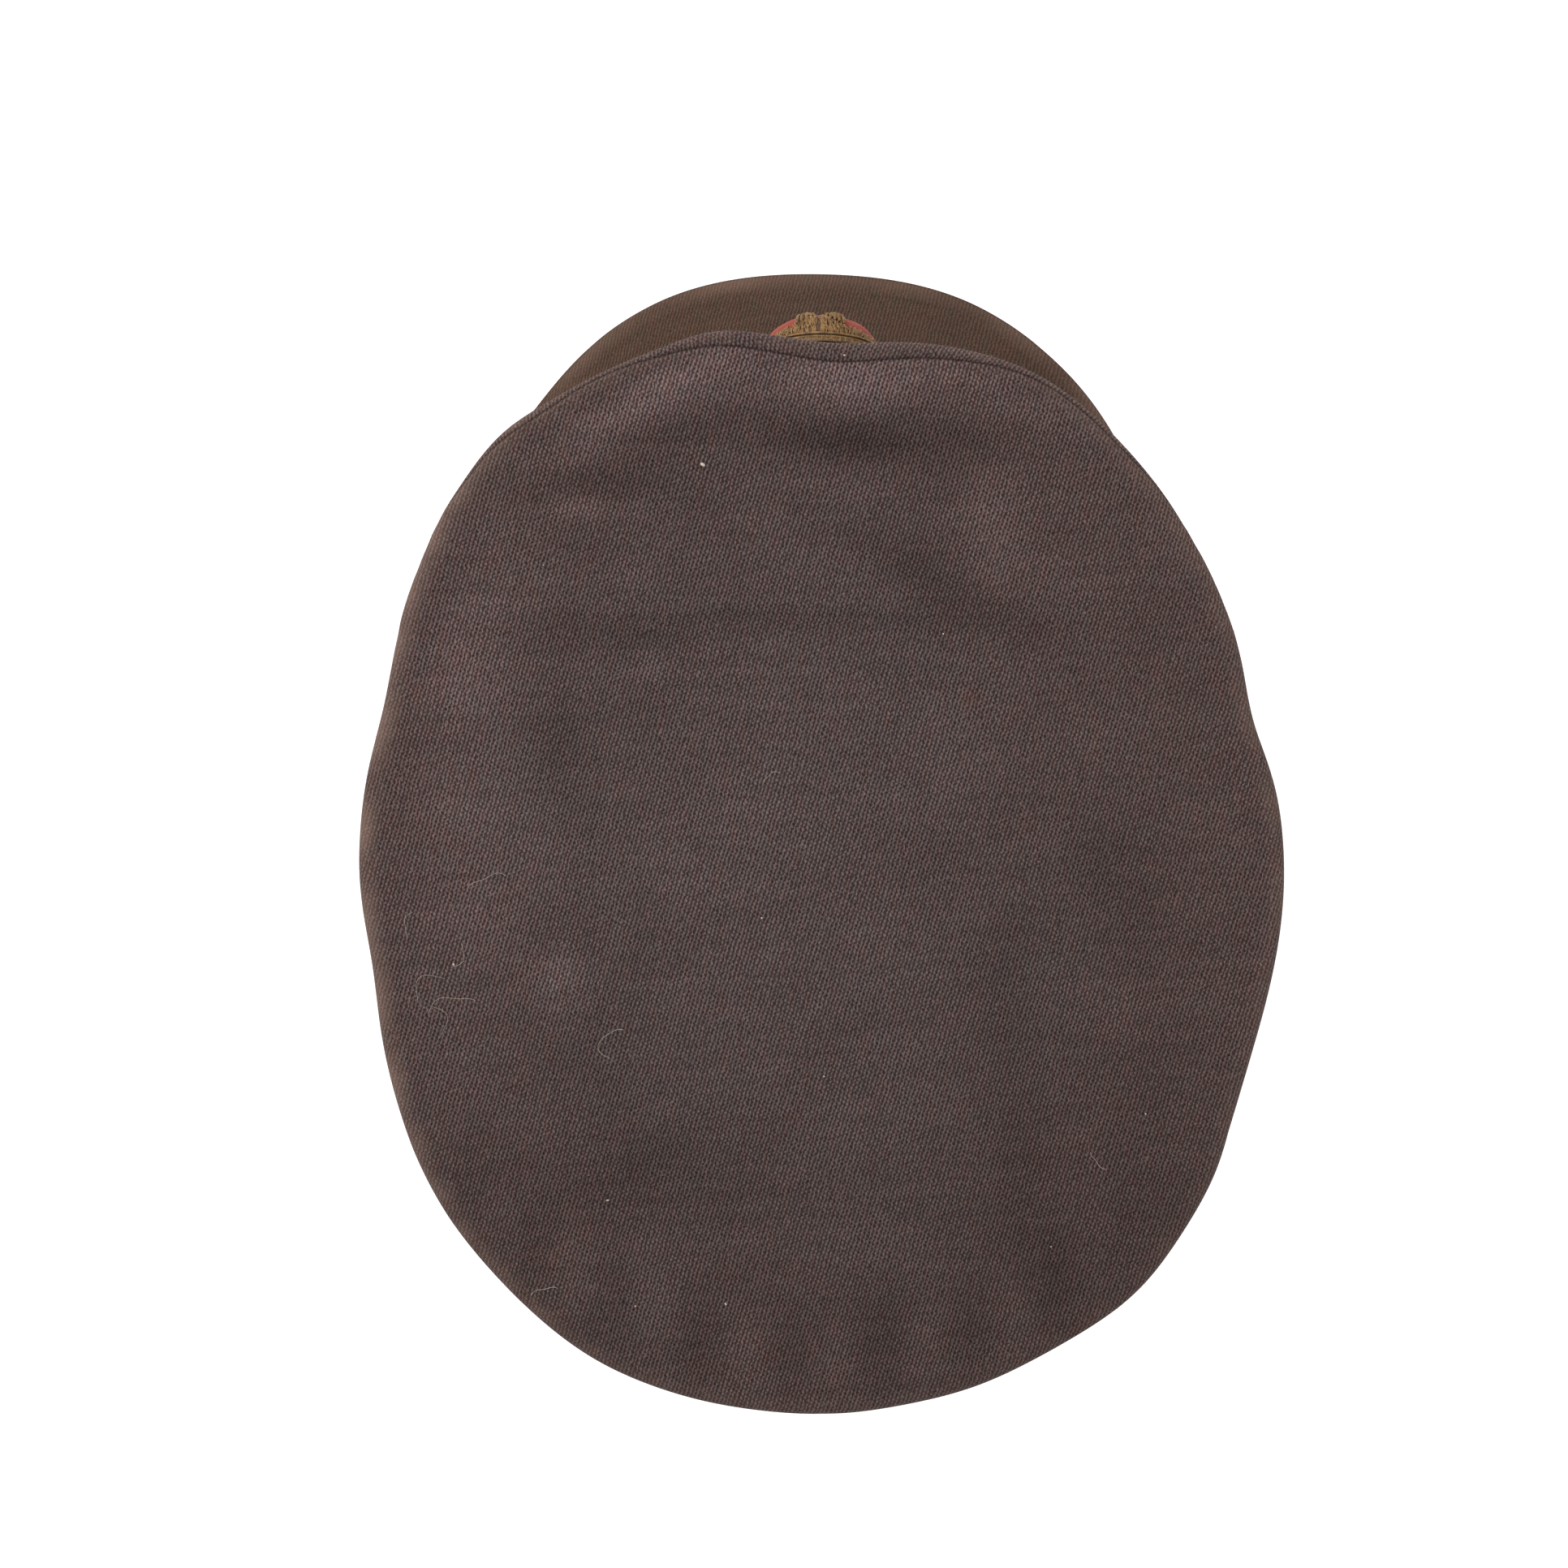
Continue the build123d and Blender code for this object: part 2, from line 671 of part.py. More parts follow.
with BuildPart() as button_back:
    with BuildSketch(Plane.XY.offset(0.4)):
        Circle(BUTTON_RADIUS - 0.65)
    extrude(amount=0.75)
    with BuildSketch(Plane.XY.offset(0.4)):
        Circle(SHANK_RADIUS)
    extrude(amount=-(BUTTON_SEAT + 0.4 + SHANK_DEPTH))

with BuildPart() as button_retainer:
    with BuildSketch(Plane.XY.offset(-BUTTON_SEAT - SHANK_DEPTH)):
        Circle(RETAINER_RADIUS)
        Circle(SHANK_RADIUS + 0.02, mode=Mode.SUBTRACT)
    extrude(amount=RETAINER_THICKNESS)

with BuildPart() as button_eyelet:
    with BuildSketch(Plane.XY.offset(0.15)):
        Circle(EYELET_TUBE)
        Circle(EYELET_BORE, mode=Mode.SUBTRACT)
    extrude(amount=-STIFFENER_INSET - FIBRE - 0.15)
    with BuildSketch(Plane.XY.offset(0.15)):
        Circle(EYELET_FLANGE)
        Circle(EYELET_BORE, mode=Mode.SUBTRACT)
    extrude(amount=EYELET_FLANGE_THICKNESS)


pieces = {
    "band_cloth": band_cloth.part,
    "band_stiffener": band_stiffener.part,
    "band_upper_welt": band_upper_welt,
    "band_lower_welt": band_lower_welt,
    "sweatband": sweatband.part,
    "sweatband_reed": sweatband_reed,
    "sweatband_bow": sweatband_bow.part,
    "crown_front_panel": crown_front_panel.part,
    "crown_rear_panel_left": crown_rear_panel_left.part,
    "crown_rear_panel_right": crown_rear_panel_right.part,
    "crown_top": crown_top.part,
    "grommet_wire": grommet_wire.part,
    "grommet_ferrule": grommet_ferrule.part,
    "front_stay": front_stay.part,
    "lining_side": lining_side.part,
    "lining_top": lining_top.part,
    "sweat_shield": sweat_shield.part,
    "peak_cover": peak_cover,
    "peak_core": peak_core,
    "peak_lining": peak_lining,
    "chin_strap_inner": chin_strap_inner.part,
    "chin_strap_outer": chin_strap_outer.part,
    "keeper_left": keeper_left,
    "keeper_right": keeper_right,
}
badge_pieces = (
    ("badge_backing", badge_backing),
    ("badge_dome", badge_dome),
    ("badge_border", badge_border),
    ("badge_bars", badge_bars),
    ("badge_pins", badge_pins),
)
for name, body in badge_pieces:
    pieces[name] = body.part.moved(BADGE_PLANE.location)
for side, plane in button_planes.items():
    seat = plane.offset(BUTTON_SEAT).location
    pieces[f"button_front_{side}"] = button_front.part.moved(seat)
    pieces[f"button_back_{side}"] = button_back.part.moved(seat)
    pieces[f"button_retainer_{side}"] = button_retainer.part.moved(seat)
    pieces[f"button_eyelet_{side}"] = button_eyelet.part.moved(plane.location)


# The cap leans back until it stands on its peak and the back of its band

leaning = {name: piece.moved(Rotation(-LEAN, 0, 0)) for name, piece in pieces.items()}
boxes = [piece.bounding_box() for piece in leaning.values()]
low_y = min(box.min.Y for box in boxes)
high_y = max(box.max.Y for box in boxes)
low_z = min(box.min.Z for box in boxes)
STANDING = Pos(0, -(low_y + high_y) / 2, -low_z) * Rotation(-LEAN, 0, 0)

os.makedirs("parts", exist_ok=True)
for name, piece in pieces.items():
    placed = piece.moved(STANDING)
    placed.label = name
    export_step(placed, f"parts/{name}.step")

# Places that the record states, in the standing frame, in millimetres


def standing_point(point):
    """A point of the cap's frame, in the standing frame."""
    return tuple(round(value, 4) for value in (STANDING * Pos(*point)).position)


def standing_direction(direction):
    """A direction of the cap's frame, in the standing frame."""
    return tuple(round(value, 6) for value in (Rotation(-LEAN, 0, 0) * Pos(*direction)).position)


print("peak's edge", round(leaning["peak_cover"].bounding_box().min.Z, 3))
print("band's back", round(leaning["band_lower_welt"].bounding_box().min.Z, 3))
print("head opening", standing_point((0, 0, 0)), standing_direction((0, 0, -1)))
print("keepers turn about", standing_point((0, -BAND_END_CENTRE, BUTTON_HEIGHT)), standing_direction((0, 0, 1)))
for side, plane in button_planes.items():
    print("button", side, standing_point(plane.origin), standing_direction(plane.z_dir))
print("strap turns about", standing_point((0, button_planes["left"].origin.Y, BUTTON_HEIGHT)))
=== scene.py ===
"""A worn peaked cap in brown wool twill, on a pale floor, seen from straight above."""

import json
import math

import bpy
import numpy as np
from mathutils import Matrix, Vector


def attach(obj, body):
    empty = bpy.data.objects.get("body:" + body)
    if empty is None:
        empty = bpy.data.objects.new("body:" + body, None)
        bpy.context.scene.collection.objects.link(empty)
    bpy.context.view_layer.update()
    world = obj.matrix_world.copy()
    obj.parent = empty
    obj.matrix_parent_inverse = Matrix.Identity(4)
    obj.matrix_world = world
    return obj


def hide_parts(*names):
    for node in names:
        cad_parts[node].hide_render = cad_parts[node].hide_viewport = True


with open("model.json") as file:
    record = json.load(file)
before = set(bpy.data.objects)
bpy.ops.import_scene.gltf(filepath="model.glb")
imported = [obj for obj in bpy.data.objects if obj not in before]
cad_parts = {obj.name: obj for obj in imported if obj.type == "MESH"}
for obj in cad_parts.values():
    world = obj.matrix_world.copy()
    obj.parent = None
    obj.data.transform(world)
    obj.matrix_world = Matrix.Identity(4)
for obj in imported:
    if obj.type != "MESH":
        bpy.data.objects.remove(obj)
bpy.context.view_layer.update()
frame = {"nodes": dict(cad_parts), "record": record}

MM = 0.001
FULL = 2 * math.pi
rng = np.random.default_rng(7)


# The cap's own frame, in millimetres: the head opening is XY, +Z up through the crown, peak at -Y.
# It leans back as the record's head opening says.

opening = next(m for m in frame["record"]["mounts"] if m["name"] == "head_opening")
LEAN = math.asin(-opening["axis"][1])
OPENING = np.array(opening["pos_m"])
TURN = np.array(
    [[1, 0, 0], [0, math.cos(LEAN), math.sin(LEAN)], [0, -math.sin(LEAN), math.cos(LEAN)]]
)


def to_row(points):
    """Points of the cap's frame, in millimetres, to the row frame in metres."""
    return np.asarray(points, float) @ TURN.T * MM + OPENING


def outward(psi):
    """Unit x and y at normal angles psi, in degrees from the front, growing towards +X."""
    return np.stack([np.sin(np.radians(psi)), -np.cos(np.radians(psi))], axis=-1)


class Oval:
    """An oval of six tangent arcs, as the CAD model draws it, long along Y.

    Its points are found by the angle of their outward normal.
    """

    def __init__(self, half_length, half_width, share=2.0):
        excess = half_length - half_width
        self.a, self.b = half_length, half_width
        self.end = share * excess
        self.side = excess * (2 * share - 1) / (2 * (share - 1))

    def at(self, psi, offset=0.0):
        """x and y at normal angles psi, moved out by offset."""
        psi = np.asarray(psi, float)
        nx, ny = outward(psi).T
        sign = np.where(psi >= 0, 1.0, -1.0)
        end_turn = math.degrees(math.atan2(self.side, self.end))
        size = np.abs(psi)
        arcs = [size <= end_turn, size <= 180 - end_turn]
        cx = np.select(arcs, [0, -sign * self.side], 0)
        cy = np.select(arcs, [-self.end, 0], self.end)
        r = np.select(arcs, [self.a - self.end, self.b + self.side], self.a - self.end)
        return cx + nx * (r + offset), cy + ny * (r + offset)


BAND = Oval(105.0, 88.0)
BAND_TOP = 42.0


def sloping_oval(front, rear, half_width, share):
    """The middle, slope and oval of a plane between the y and z of its front and rear ends."""
    middle = ((front[0] + rear[0]) / 2, (front[1] + rear[1]) / 2)
    slope = math.atan2(front[1] - rear[1], rear[0] - front[0])
    return middle, slope, Oval((rear[0] - front[0]) / 2 / math.cos(slope), half_width, share)


CROWN_MID, CROWN_SLOPE, CROWN = sloping_oval((-126.0, 86.0), (156.8, 64.0), 118.0, 1.2)
WAIST_MID, WAIST_SLOPE, WAIST = sloping_oval((-116.6, 62.0), (136.0, 51.0), 106.0, 1.6)


def from_plane(x, y, w, mid=CROWN_MID, slope=CROWN_SLOPE):
    """Points of a sloping plane's own frame, w above it, in the cap's frame."""
    c, s = math.cos(slope), math.sin(slope)
    return np.stack(
        np.broadcast_arrays(x, mid[0] + y * c + w * s, mid[1] - y * s + w * c), axis=-1
    )


def hump(value, middle, width):
    """A smooth bump, 1 at the middle."""
    return np.exp(-(((value - middle) / width) ** 2))


def step(value, start, end):
    """A smooth step from 0 at start to 1 at end."""
    t = np.clip((value - start) / (end - start), 0, 1)
    return t * t * (3 - 2 * t)


def unit(values):
    """The numbers, kept between 0 and 1."""
    return np.clip(values, 0, 1)


def waves(x, y, size, seed, count=12):
    """Smooth random relief between about -1 and 1, with features of about that size."""
    made = np.random.default_rng(seed)
    total = np.zeros(np.broadcast(x, y).shape)
    for _ in range(count):
        angle, phase = made.uniform(0, FULL, 2)
        k = FULL / (size * made.uniform(0.7, 1.6))
        total += np.sin(k * (x * math.cos(angle) + y * math.sin(angle)) + phase)
    return total / math.sqrt(count) * 0.8


def walked(path):
    """The distance walked along a path to each of its points."""
    steps = np.linalg.norm(np.diff(path, axis=0), axis=-1)
    return np.concatenate([np.zeros_like(steps[:1]), np.cumsum(steps, axis=0)])


def points_along(path, at):
    """The points of a path at those distances along it."""
    run = walked(path)
    return np.stack([np.interp(at, run, path[:, i]) for i in range(3)], axis=-1)


# Mesh helpers


def build(name, points, faces, corner_uv=None, marks=None):
    """A smooth mesh object from points in the cap's frame; marks are numbers for each point."""
    mesh = bpy.data.meshes.new(name)
    mesh.from_pydata(to_row(points).tolist(), [], faces)
    if corner_uv is not None:
        layer = mesh.uv_layers.new(name="cloth")
        layer.data.foreach_set("uv", np.asarray(corner_uv, np.float32).ravel())
    for mark, values in (marks or {}).items():
        attribute = mesh.attributes.new(mark, "FLOAT", "POINT")
        attribute.data.foreach_set("value", np.asarray(values, np.float32).ravel())
    mesh.shade_smooth()
    mesh.update()
    thing = bpy.data.objects.new(name, mesh)
    bpy.context.scene.collection.objects.link(thing)
    return thing


def sheet_mesh(name, points, uv, marks=None, closed=True, middle=None, flip=False):
    """A mesh from rows of points. closed joins each row's ends; middle fills the first row in.

    uv has one more column than points where the rows are closed.
    """
    rows, cols = points.shape[:2]
    flat = points.reshape(-1, 3)
    r, c = np.indices((rows - 1, cols if closed else cols - 1)).reshape(2, -1)
    nxt = (c + 1) % cols
    quads = np.stack([r * cols + c, r * cols + nxt, (r + 1) * cols + nxt, (r + 1) * cols + c], 1)
    corner_uv = np.stack([uv[r, c], uv[r, c + 1], uv[r + 1, c + 1], uv[r + 1, c]], axis=1)
    if flip:
        quads, corner_uv = quads[:, ::-1], corner_uv[:, ::-1]
    faces = quads.tolist()
    corner_uv = corner_uv.reshape(-1, 2)
    marks = {k: np.broadcast_to(v, (rows, cols)).ravel() for k, v in (marks or {}).items()}
    if middle is not None:
        flat = np.vstack([flat, middle])
        fan_uv = []
        for i in range(cols):
            ends, end_uv = [(i + 1) % cols, i], [uv[0, i + 1], uv[0, i]]
            if flip:
                ends, end_uv = ends[::-1], end_uv[::-1]
            faces.append([rows * cols, *ends])
            fan_uv += [(0, 0), *end_uv]
        corner_uv = np.vstack([corner_uv, fan_uv])
        marks = {k: np.append(v, v[0]) for k, v in marks.items()}
    return build(name, flat, faces, corner_uv, marks)


def tube(path, radius, sides=10, closed=False):
    """Points and faces of a round tube along a path; radius may vary along it."""
    path = np.asarray(path, float)
    n = len(path)
    ahead = np.roll(path, -1, 0) - np.roll(path, 1, 0)
    if not closed:
        ahead[0], ahead[-1] = path[1] - path[0], path[-1] - path[-2]
    ahead /= np.linalg.norm(ahead, axis=1)[:, None]
    up = np.array([0.0, 0.0, 1.0]) if abs(ahead[0][2]) < 0.9 else np.array([1.0, 0, 0])
    side = np.cross(ahead, up)
    side /= np.linalg.norm(side, axis=1)[:, None] + 1e-12
    top = np.cross(side, ahead)
    turn = np.linspace(0, FULL, sides, endpoint=False)[None, :, None]
    r = np.broadcast_to(radius, (n,))[:, None, None]
    points = path[:, None] + r * (np.cos(turn) * side[:, None] + np.sin(turn) * top[:, None])
    faces = []
    for i in range(n if closed else n - 1):
        a, b = i * sides, (i + 1) % n * sides
        for k in range(sides):
            m = (k + 1) % sides
            faces.append([a + k, a + m, b + m, b + k])
    if not closed:
        faces.append(list(range(sides))[::-1])
        faces.append([(n - 1) * sides + k for k in range(sides)])
    return points.reshape(-1, 3), faces


def place(thing, slot, replaces=(), material=None, body="cap"):
    """Gives a piece its material, by slot unless one is given, hangs it on its body and hides the
    CAD nodes that it stands for.
    """
    thing.data.materials.append(material or BY_SLOT[slot])
    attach(thing, body)
    if replaces:
        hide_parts(*replaces)
    return thing


def bundle(name, tubes, slot, replaces=(), material=None, body="cap"):
    """A piece made of many tubes joined in one mesh."""
    points, faces, start = [], [], 0
    for made, rings in tubes:
        faces += [[i + start for i in face] for face in rings]
        points.append(made)
        start += len(made)
    return place(build(name, np.concatenate(points), faces), slot, replaces, material, body)


# Materials


class Shader:
    """A material's node tree. Each call adds a node and gives its output."""

    def __init__(self, name):
        self.material = bpy.data.materials.new(name)
        self.material.use_nodes = True
        self.tree = self.material.node_tree
        self.bsdf = self.tree.nodes["Principled BSDF"]

    def link(self, value, socket):
        if hasattr(value, "is_linked"):
            self.tree.links.new(value, socket)
        else:
            socket.default_value = value

    def node(self, kind, inputs=(), out=0, **settings):
        made = self.tree.nodes.new("ShaderNode" + kind)
        for key, value in settings.items():
            setattr(made, key, value)
        named = inputs if isinstance(inputs, dict) else dict(enumerate(inputs))
        for key, value in named.items():
            self.link(value, made.inputs[key])
        return made.outputs[out]

    def add(self, a, b):
        return self.node("Math", (a, b), operation="ADD")

    def times(self, a, b):
        return self.node("Math", (a, b), operation="MULTIPLY")

    def centred(self, value, size):
        return self.times(self.add(value, -0.5), size)

    def sine(self, a):
        return self.node("Math", (a,), operation="SINE")

    def dot(self, vector, direction):
        return self.node("VectorMath", (vector, direction), "Value", operation="DOT_PRODUCT")

    def stretch(self, vector, by, turn=0.0):
        return self.node("Mapping", {"Vector": vector, "Scale": by, "Rotation": (0, 0, turn)})

    def noise(self, vector, scale, detail=2.0, roughness=0.5):
        inputs = {"Vector": vector, "Scale": scale, "Detail": detail, "Roughness": roughness}
        return self.node("TexNoise", inputs, "Fac")

    def ramp(self, value, stops):
        color = self.node("ValToRGB", (value,))
        elements = color.node.color_ramp.elements
        while len(elements) < len(stops):
            elements.new(0.5)
        for element, (position, shade) in zip(elements, stops):
            element.position, element.color = position, (*shade, 1)
        return color

    def mix(self, share, a, b, blend="MIX"):
        a, b = (v if hasattr(v, "is_linked") else (*v, 1) for v in (a, b))
        return self.node("Mix", {0: share, 6: a, 7: b}, 2, data_type="RGBA", blend_type=blend)

    def tinted(self, share, color, paint):
        """The colour multiplied by paint, as far as share says."""
        return self.mix(share, color, self.mix(1.0, color, paint, "MULTIPLY"))

    def remap(self, value, low, high, new_low=0.0, new_high=1.0):
        return self.node("MapRange", (value, low, high, new_low, new_high), clamp=True)

    def uv(self):
        return self.node("UVMap", uv_map="cloth")

    def place(self):
        return self.node("TexCoord", out="Object")

    def mark(self, name):
        return self.node("Attribute", out="Fac", attribute_name=name)

    def bump(self, height, distance, strength=1.0, base=None):
        inputs = {"Strength": strength, "Distance": distance, "Height": height}
        return self.node("Bump", inputs if base is None else {**inputs, "Normal": base})

    def finish(self, color, normal=None, rough=0.5, **fixed):
        if not hasattr(color, "is_linked"):
            color = (*color, 1)
        self.link(color, self.bsdf.inputs["Base Color"])
        if normal is not None:
            self.link(normal, self.bsdf.inputs["Normal"])
        self.link(rough, self.bsdf.inputs["Roughness"])
        for name, value in fixed.items():
            self.bsdf.inputs[name.replace("_", " ")].default_value = value
        return self.material


def srgb(*values):
    """Linear colour from 0 to 255 screen values, all of them well over the linear foot."""
    return tuple(((v / 255 + 0.055) / 1.055) ** 2.4 for v in values)


def twill(name, angle, pitch, colors, warm, cool, depth, crossing=1.0, spots=()):
    """Wool twill from the cloth map: ribs at that angle, crossed by the yarns' floats."""
    s = Shader(name)
    uv, at = s.uv(), s.place()

    def wave(direction, period, jitter):
        rad = math.radians(direction - 90)
        k = FULL / period
        return s.sine(s.add(jitter, s.dot(uv, (math.cos(rad) * k, math.sin(rad) * k, 0))))

    drift = s.centred(s.noise(uv, 230, 2, 0.6), 5.0)
    twist = s.centred(s.noise(uv, 1100, 1, 0.5), 5.5)
    jitter = s.add(drift, twist)
    rib = wave(angle, pitch, jitter)
    cross = wave(angle + 69, pitch, s.times(jitter, -0.8))
    float_ = wave(angle - 54, pitch * 0.89, twist)
    along = math.radians(angle - 90)
    fibre = s.noise(s.stretch(uv, (1.0, 0.4, 1), along), 2700, 2, 0.75)
    crossings = s.add(s.times(cross, 0.19 * crossing), s.times(float_, 0.13 * crossing))
    height = s.add(s.add(s.times(rib, 0.48), crossings), s.centred(fibre, 2.3))
    color = s.ramp(s.remap(height, -0.95, 0.95), list(zip((0.0, 0.45, 1.0), colors)))
    # Yarns differ in hue, some picks are thicker, and the cloth has faded unevenly
    yarn = s.noise(s.stretch(uv, (1.0, 0.3, 1), along), 420, 3, 0.7)
    color = s.tinted(s.remap(yarn, 0.46, 0.7, 0, 0.7), color, warm)
    color = s.tinted(s.remap(yarn, 0.52, 0.3, 0, 0.7), color, cool)
    pick = s.noise(s.stretch(uv, (28, 330, 1)), 1.0, 2, 0.6)
    patch = s.noise(at, 30, 5, 0.7)
    shade = s.add(s.centred(pick, 0.44), s.add(s.centred(patch, 0.6), 1.0))
    color = s.mix(1.0, color, s.node("CombineColor", (shade, shade, shade)), "MULTIPLY")
    worn = s.mix(0.55, s.mix(1.0, color, (1.5, 1.36, 1.26), "MULTIPLY"), srgb(116, 95, 85))
    color = s.tinted(s.mark("browned"), color, (1.0, 0.93, 0.9))
    color = s.mix(s.mark("rubbed"), color, worn)
    # Painted light, partly real fading: paler on the top's ridges, the pleats' crests and the
    # roll's crest
    color = s.tinted(s.mark("lit_and_faded"), color, (1.62, 1.64, 1.7))
    # Painted shade: darker in the seams' grooves, in the top's creases, by the pipings and at the
    # peak's root
    color = s.tinted(s.mark("painted_shade"), color, (0.3, 0.28, 0.27))
    for (x, y), radius, paint in spots:
        spot = tuple(to_row([x, y, 78.0]))
        distance = s.node("VectorMath", (at, spot), "Value", operation="DISTANCE")
        reach = s.add(distance, s.centred(yarn, 0.006))
        color = s.tinted(s.remap(reach, radius * MM, radius * MM * 0.3, 0, 0.8), color, paint)
    normal = s.bump(height, depth, 1.0, s.bump(s.noise(at, 90, 3, 0.5), 0.0006, 0.5))
    return s.finish(
        color, normal, s.remap(fibre, 0.3, 0.7, 0.85, 1.0), Sheen_Weight=0.12, Sheen_Roughness=0.5,
        Sheen_Tint=(*srgb(150, 132, 124), 1), Specular_IOR_Level=0.12,
    )


crown_cloth = twill(
    "crown_cloth", 73, 1.006e-3, (srgb(26, 17, 17), srgb(63, 52, 51), srgb(112, 99, 97)),
    (1.16, 0.93, 0.88), (0.88, 1.0, 0.97), 0.00016,
    spots=(((41, -62), 5, (0.98, 1.12, 0.86)), ((-38, -34), 4, (1.15, 0.95, 0.85))),
)
peak_cloth = twill(
    "peak_cloth", 78, 0.94e-3, (srgb(42, 28, 22), srgb(62, 46, 38), srgb(89, 71, 60)),
    (1.15, 0.95, 0.85), (0.86, 1.04, 0.88), 0.00005, 0.45,
)


def leather(name, deep, light, grain, depth, rough=(0.35, 0.6), worn=None):
    """Leather with pebbled grain, darker in its creases and rubbed lighter on its edges."""
    s = Shader(name)
    at = s.place()
    inputs = {"Vector": at, "Scale": grain}
    pebble = s.node("TexVoronoi", inputs, "Distance", feature="DISTANCE_TO_EDGE")
    pebble = s.remap(pebble, 0.0, 0.25)
    tone = s.noise(at, 60, 4, 0.6)
    height = s.add(pebble, s.times(s.noise(at, 900, 3, 0.6), 0.8))
    color = s.mix(s.remap(tone, 0.35, 0.68), deep, light)
    color = s.tinted(s.remap(pebble, 0.6, 0.0, 0, 0.6), color, (0.45, 0.42, 0.4))
    if worn:
        color = s.mix(s.mark("rubbed"), color, worn)
    rough = s.remap(tone, 0.3, 0.7, *rough)
    return s.finish(color, s.bump(height, depth), rough, Specular_IOR_Level=0.45)


def metal(name, bright, dull, rough=(0.25, 0.5), metallic=1.0, scratch=0.00003, blotch=320):
    """Aged metal: tarnished in blotches, finely scratched."""
    s = Shader(name)
    at = s.place()
    tarnish = s.noise(at, blotch, 5, 0.7)
    line = s.noise(s.stretch(at, (1, 8, 2)), 1500, 2, 0.5)
    color = s.mix(s.remap(tarnish, 0.4, 0.65), bright, dull)
    normal = s.bump(s.add(s.times(line, 0.4), tarnish), scratch)
    return s.finish(color, normal, s.remap(tarnish, 0.35, 0.7, *rough), Metallic=metallic)


def plain_weave(name, colors, pitch, depth, sheen, rough, woven=1.0, mapped=False):
    """Cloth woven one over one; felt if it is hardly woven."""
    s = Shader(name)
    at = s.uv() if mapped else s.place()
    k = FULL / pitch
    weave = s.times(s.sine(s.dot(at, (k, 0, 0))), s.sine(s.dot(at, (0, k, 0))))
    tone = s.noise(s.place(), 45, 4, 0.6)
    fuzz = s.noise(s.place(), 1800, 2, 0.7)
    height = s.add(s.times(weave, woven), s.times(fuzz, 2.2 - woven))
    color = s.mix(s.remap(tone, 0.3, 0.7), *colors)
    color = s.tinted(s.remap(height, -0.4, 1.6, 0.35, 0), color, (0.5, 0.48, 0.46))
    return s.finish(
        color, s.bump(height, depth), s.remap(tone, 0.3, 0.7, *rough), Sheen_Weight=sheen,
        Specular_IOR_Level=0.3,
    )


def weave_of(name, low, high, *settings, **more):
    return plain_weave(name, (srgb(*low), srgb(*high)), *settings, **more)


bullion_mat = metal("bullion_mat", srgb(96, 69, 39), srgb(60, 42, 27), (0.5, 0.75), 0.2, 0.0001)
thread = weave_of("thread", (98, 78, 60), (140, 116, 92), 0.3e-3, 0.00003, 0.2, (0.6, 0.8))
lint = weave_of("lint", (176, 160, 142), (214, 204, 190), 0.3e-3, 0.00002, 0.3, (0.8, 0.95))
fuzz_cloth = weave_of("fuzz", (98, 82, 78), (150, 132, 124), 0.3e-3, 0.00002, 0.3, (0.8, 0.95))
film = Shader("clear_film")
film_normal = film.bump(film.noise(film.place(), 40, 3, 0.5), 0.0006, 0.4)

BY_SLOT = {
    "crown_cloth": crown_cloth,
    "peak_cloth": peak_cloth,
    "sweatband_leather": leather(
        "sweatband_leather", srgb(112, 66, 36), srgb(158, 104, 64), 1500, 0.00004
    ),
    "peak_leathercloth": leather(
        "peak_leathercloth", srgb(30, 24, 20), srgb(52, 43, 36), 1300, 0.00012, (0.4, 0.55)
    ),
    "strap_leather": leather(
        "strap_leather", srgb(66, 38, 24), srgb(98, 60, 38), 2400, 0.00004, (0.28, 0.5),
        srgb(150, 108, 76),
    ),
    "brass": metal("brass", srgb(196, 158, 92), srgb(120, 88, 48)),
    "steel_wire": metal("steel_wire", srgb(168, 168, 170), srgb(96, 94, 92), (0.3, 0.45)),
    "bullion": metal(
        "bullion", srgb(136, 102, 56), srgb(78, 54, 31), (0.4, 0.65), 0.35, 0.00003, 900
    ),
    "lining_cloth": weave_of(
        "lining_cloth", (120, 100, 72), (136, 114, 83), 0.5e-3, 0.00005, 0.3, (0.4, 0.6),
        mapped=True,
    ),
    "badge_red": weave_of(
        "badge_red", (124, 44, 27), (144, 60, 39), 0.5e-3, 0.00016, 0.04, (0.8, 0.95), 0.08
    ),
    "badge_felt": weave_of(
        "badge_felt", (62, 46, 38), (74, 58, 48), 0.4e-3, 0.00008, 0.3, (0.85, 1.0), 0.1
    ),
    "ribbon": weave_of(
        "ribbon", (26, 23, 25), (40, 36, 38), 0.4e-3, 0.00004, 0.2, (0.35, 0.5)
    ),
    "board": weave_of(
        "board", (140, 112, 80), (158, 130, 94), 0.6e-3, 0.00005, 0.0, (0.8, 0.95)
    ),
    "reed": weave_of(
        "reed", (150, 118, 78), (178, 146, 104), 0.9e-3, 0.00003, 0.0, (0.45, 0.6)
    ),
    "clear_film": film.finish(
        srgb(236, 224, 190), film_normal, 0.12, Alpha=0.32, Specular_IOR_Level=0.5
    ),
}


# Crown: one profile from the middle of the top, over the rolled edge and down to the band

COLUMNS = 540
PSI = np.linspace(-180, 180, COLUMNS, endpoint=False)
ARC = np.arange(COLUMNS) * 2.2  # about how far round each column is, in millimetres
OUT = outward(PSI)
TOP_W = 1.2  # the top's face above the crown's plane
ROLL = 2.7 - 1.0 * hump(PSI, 0, 42)  # the rim's own radius is tighter in front

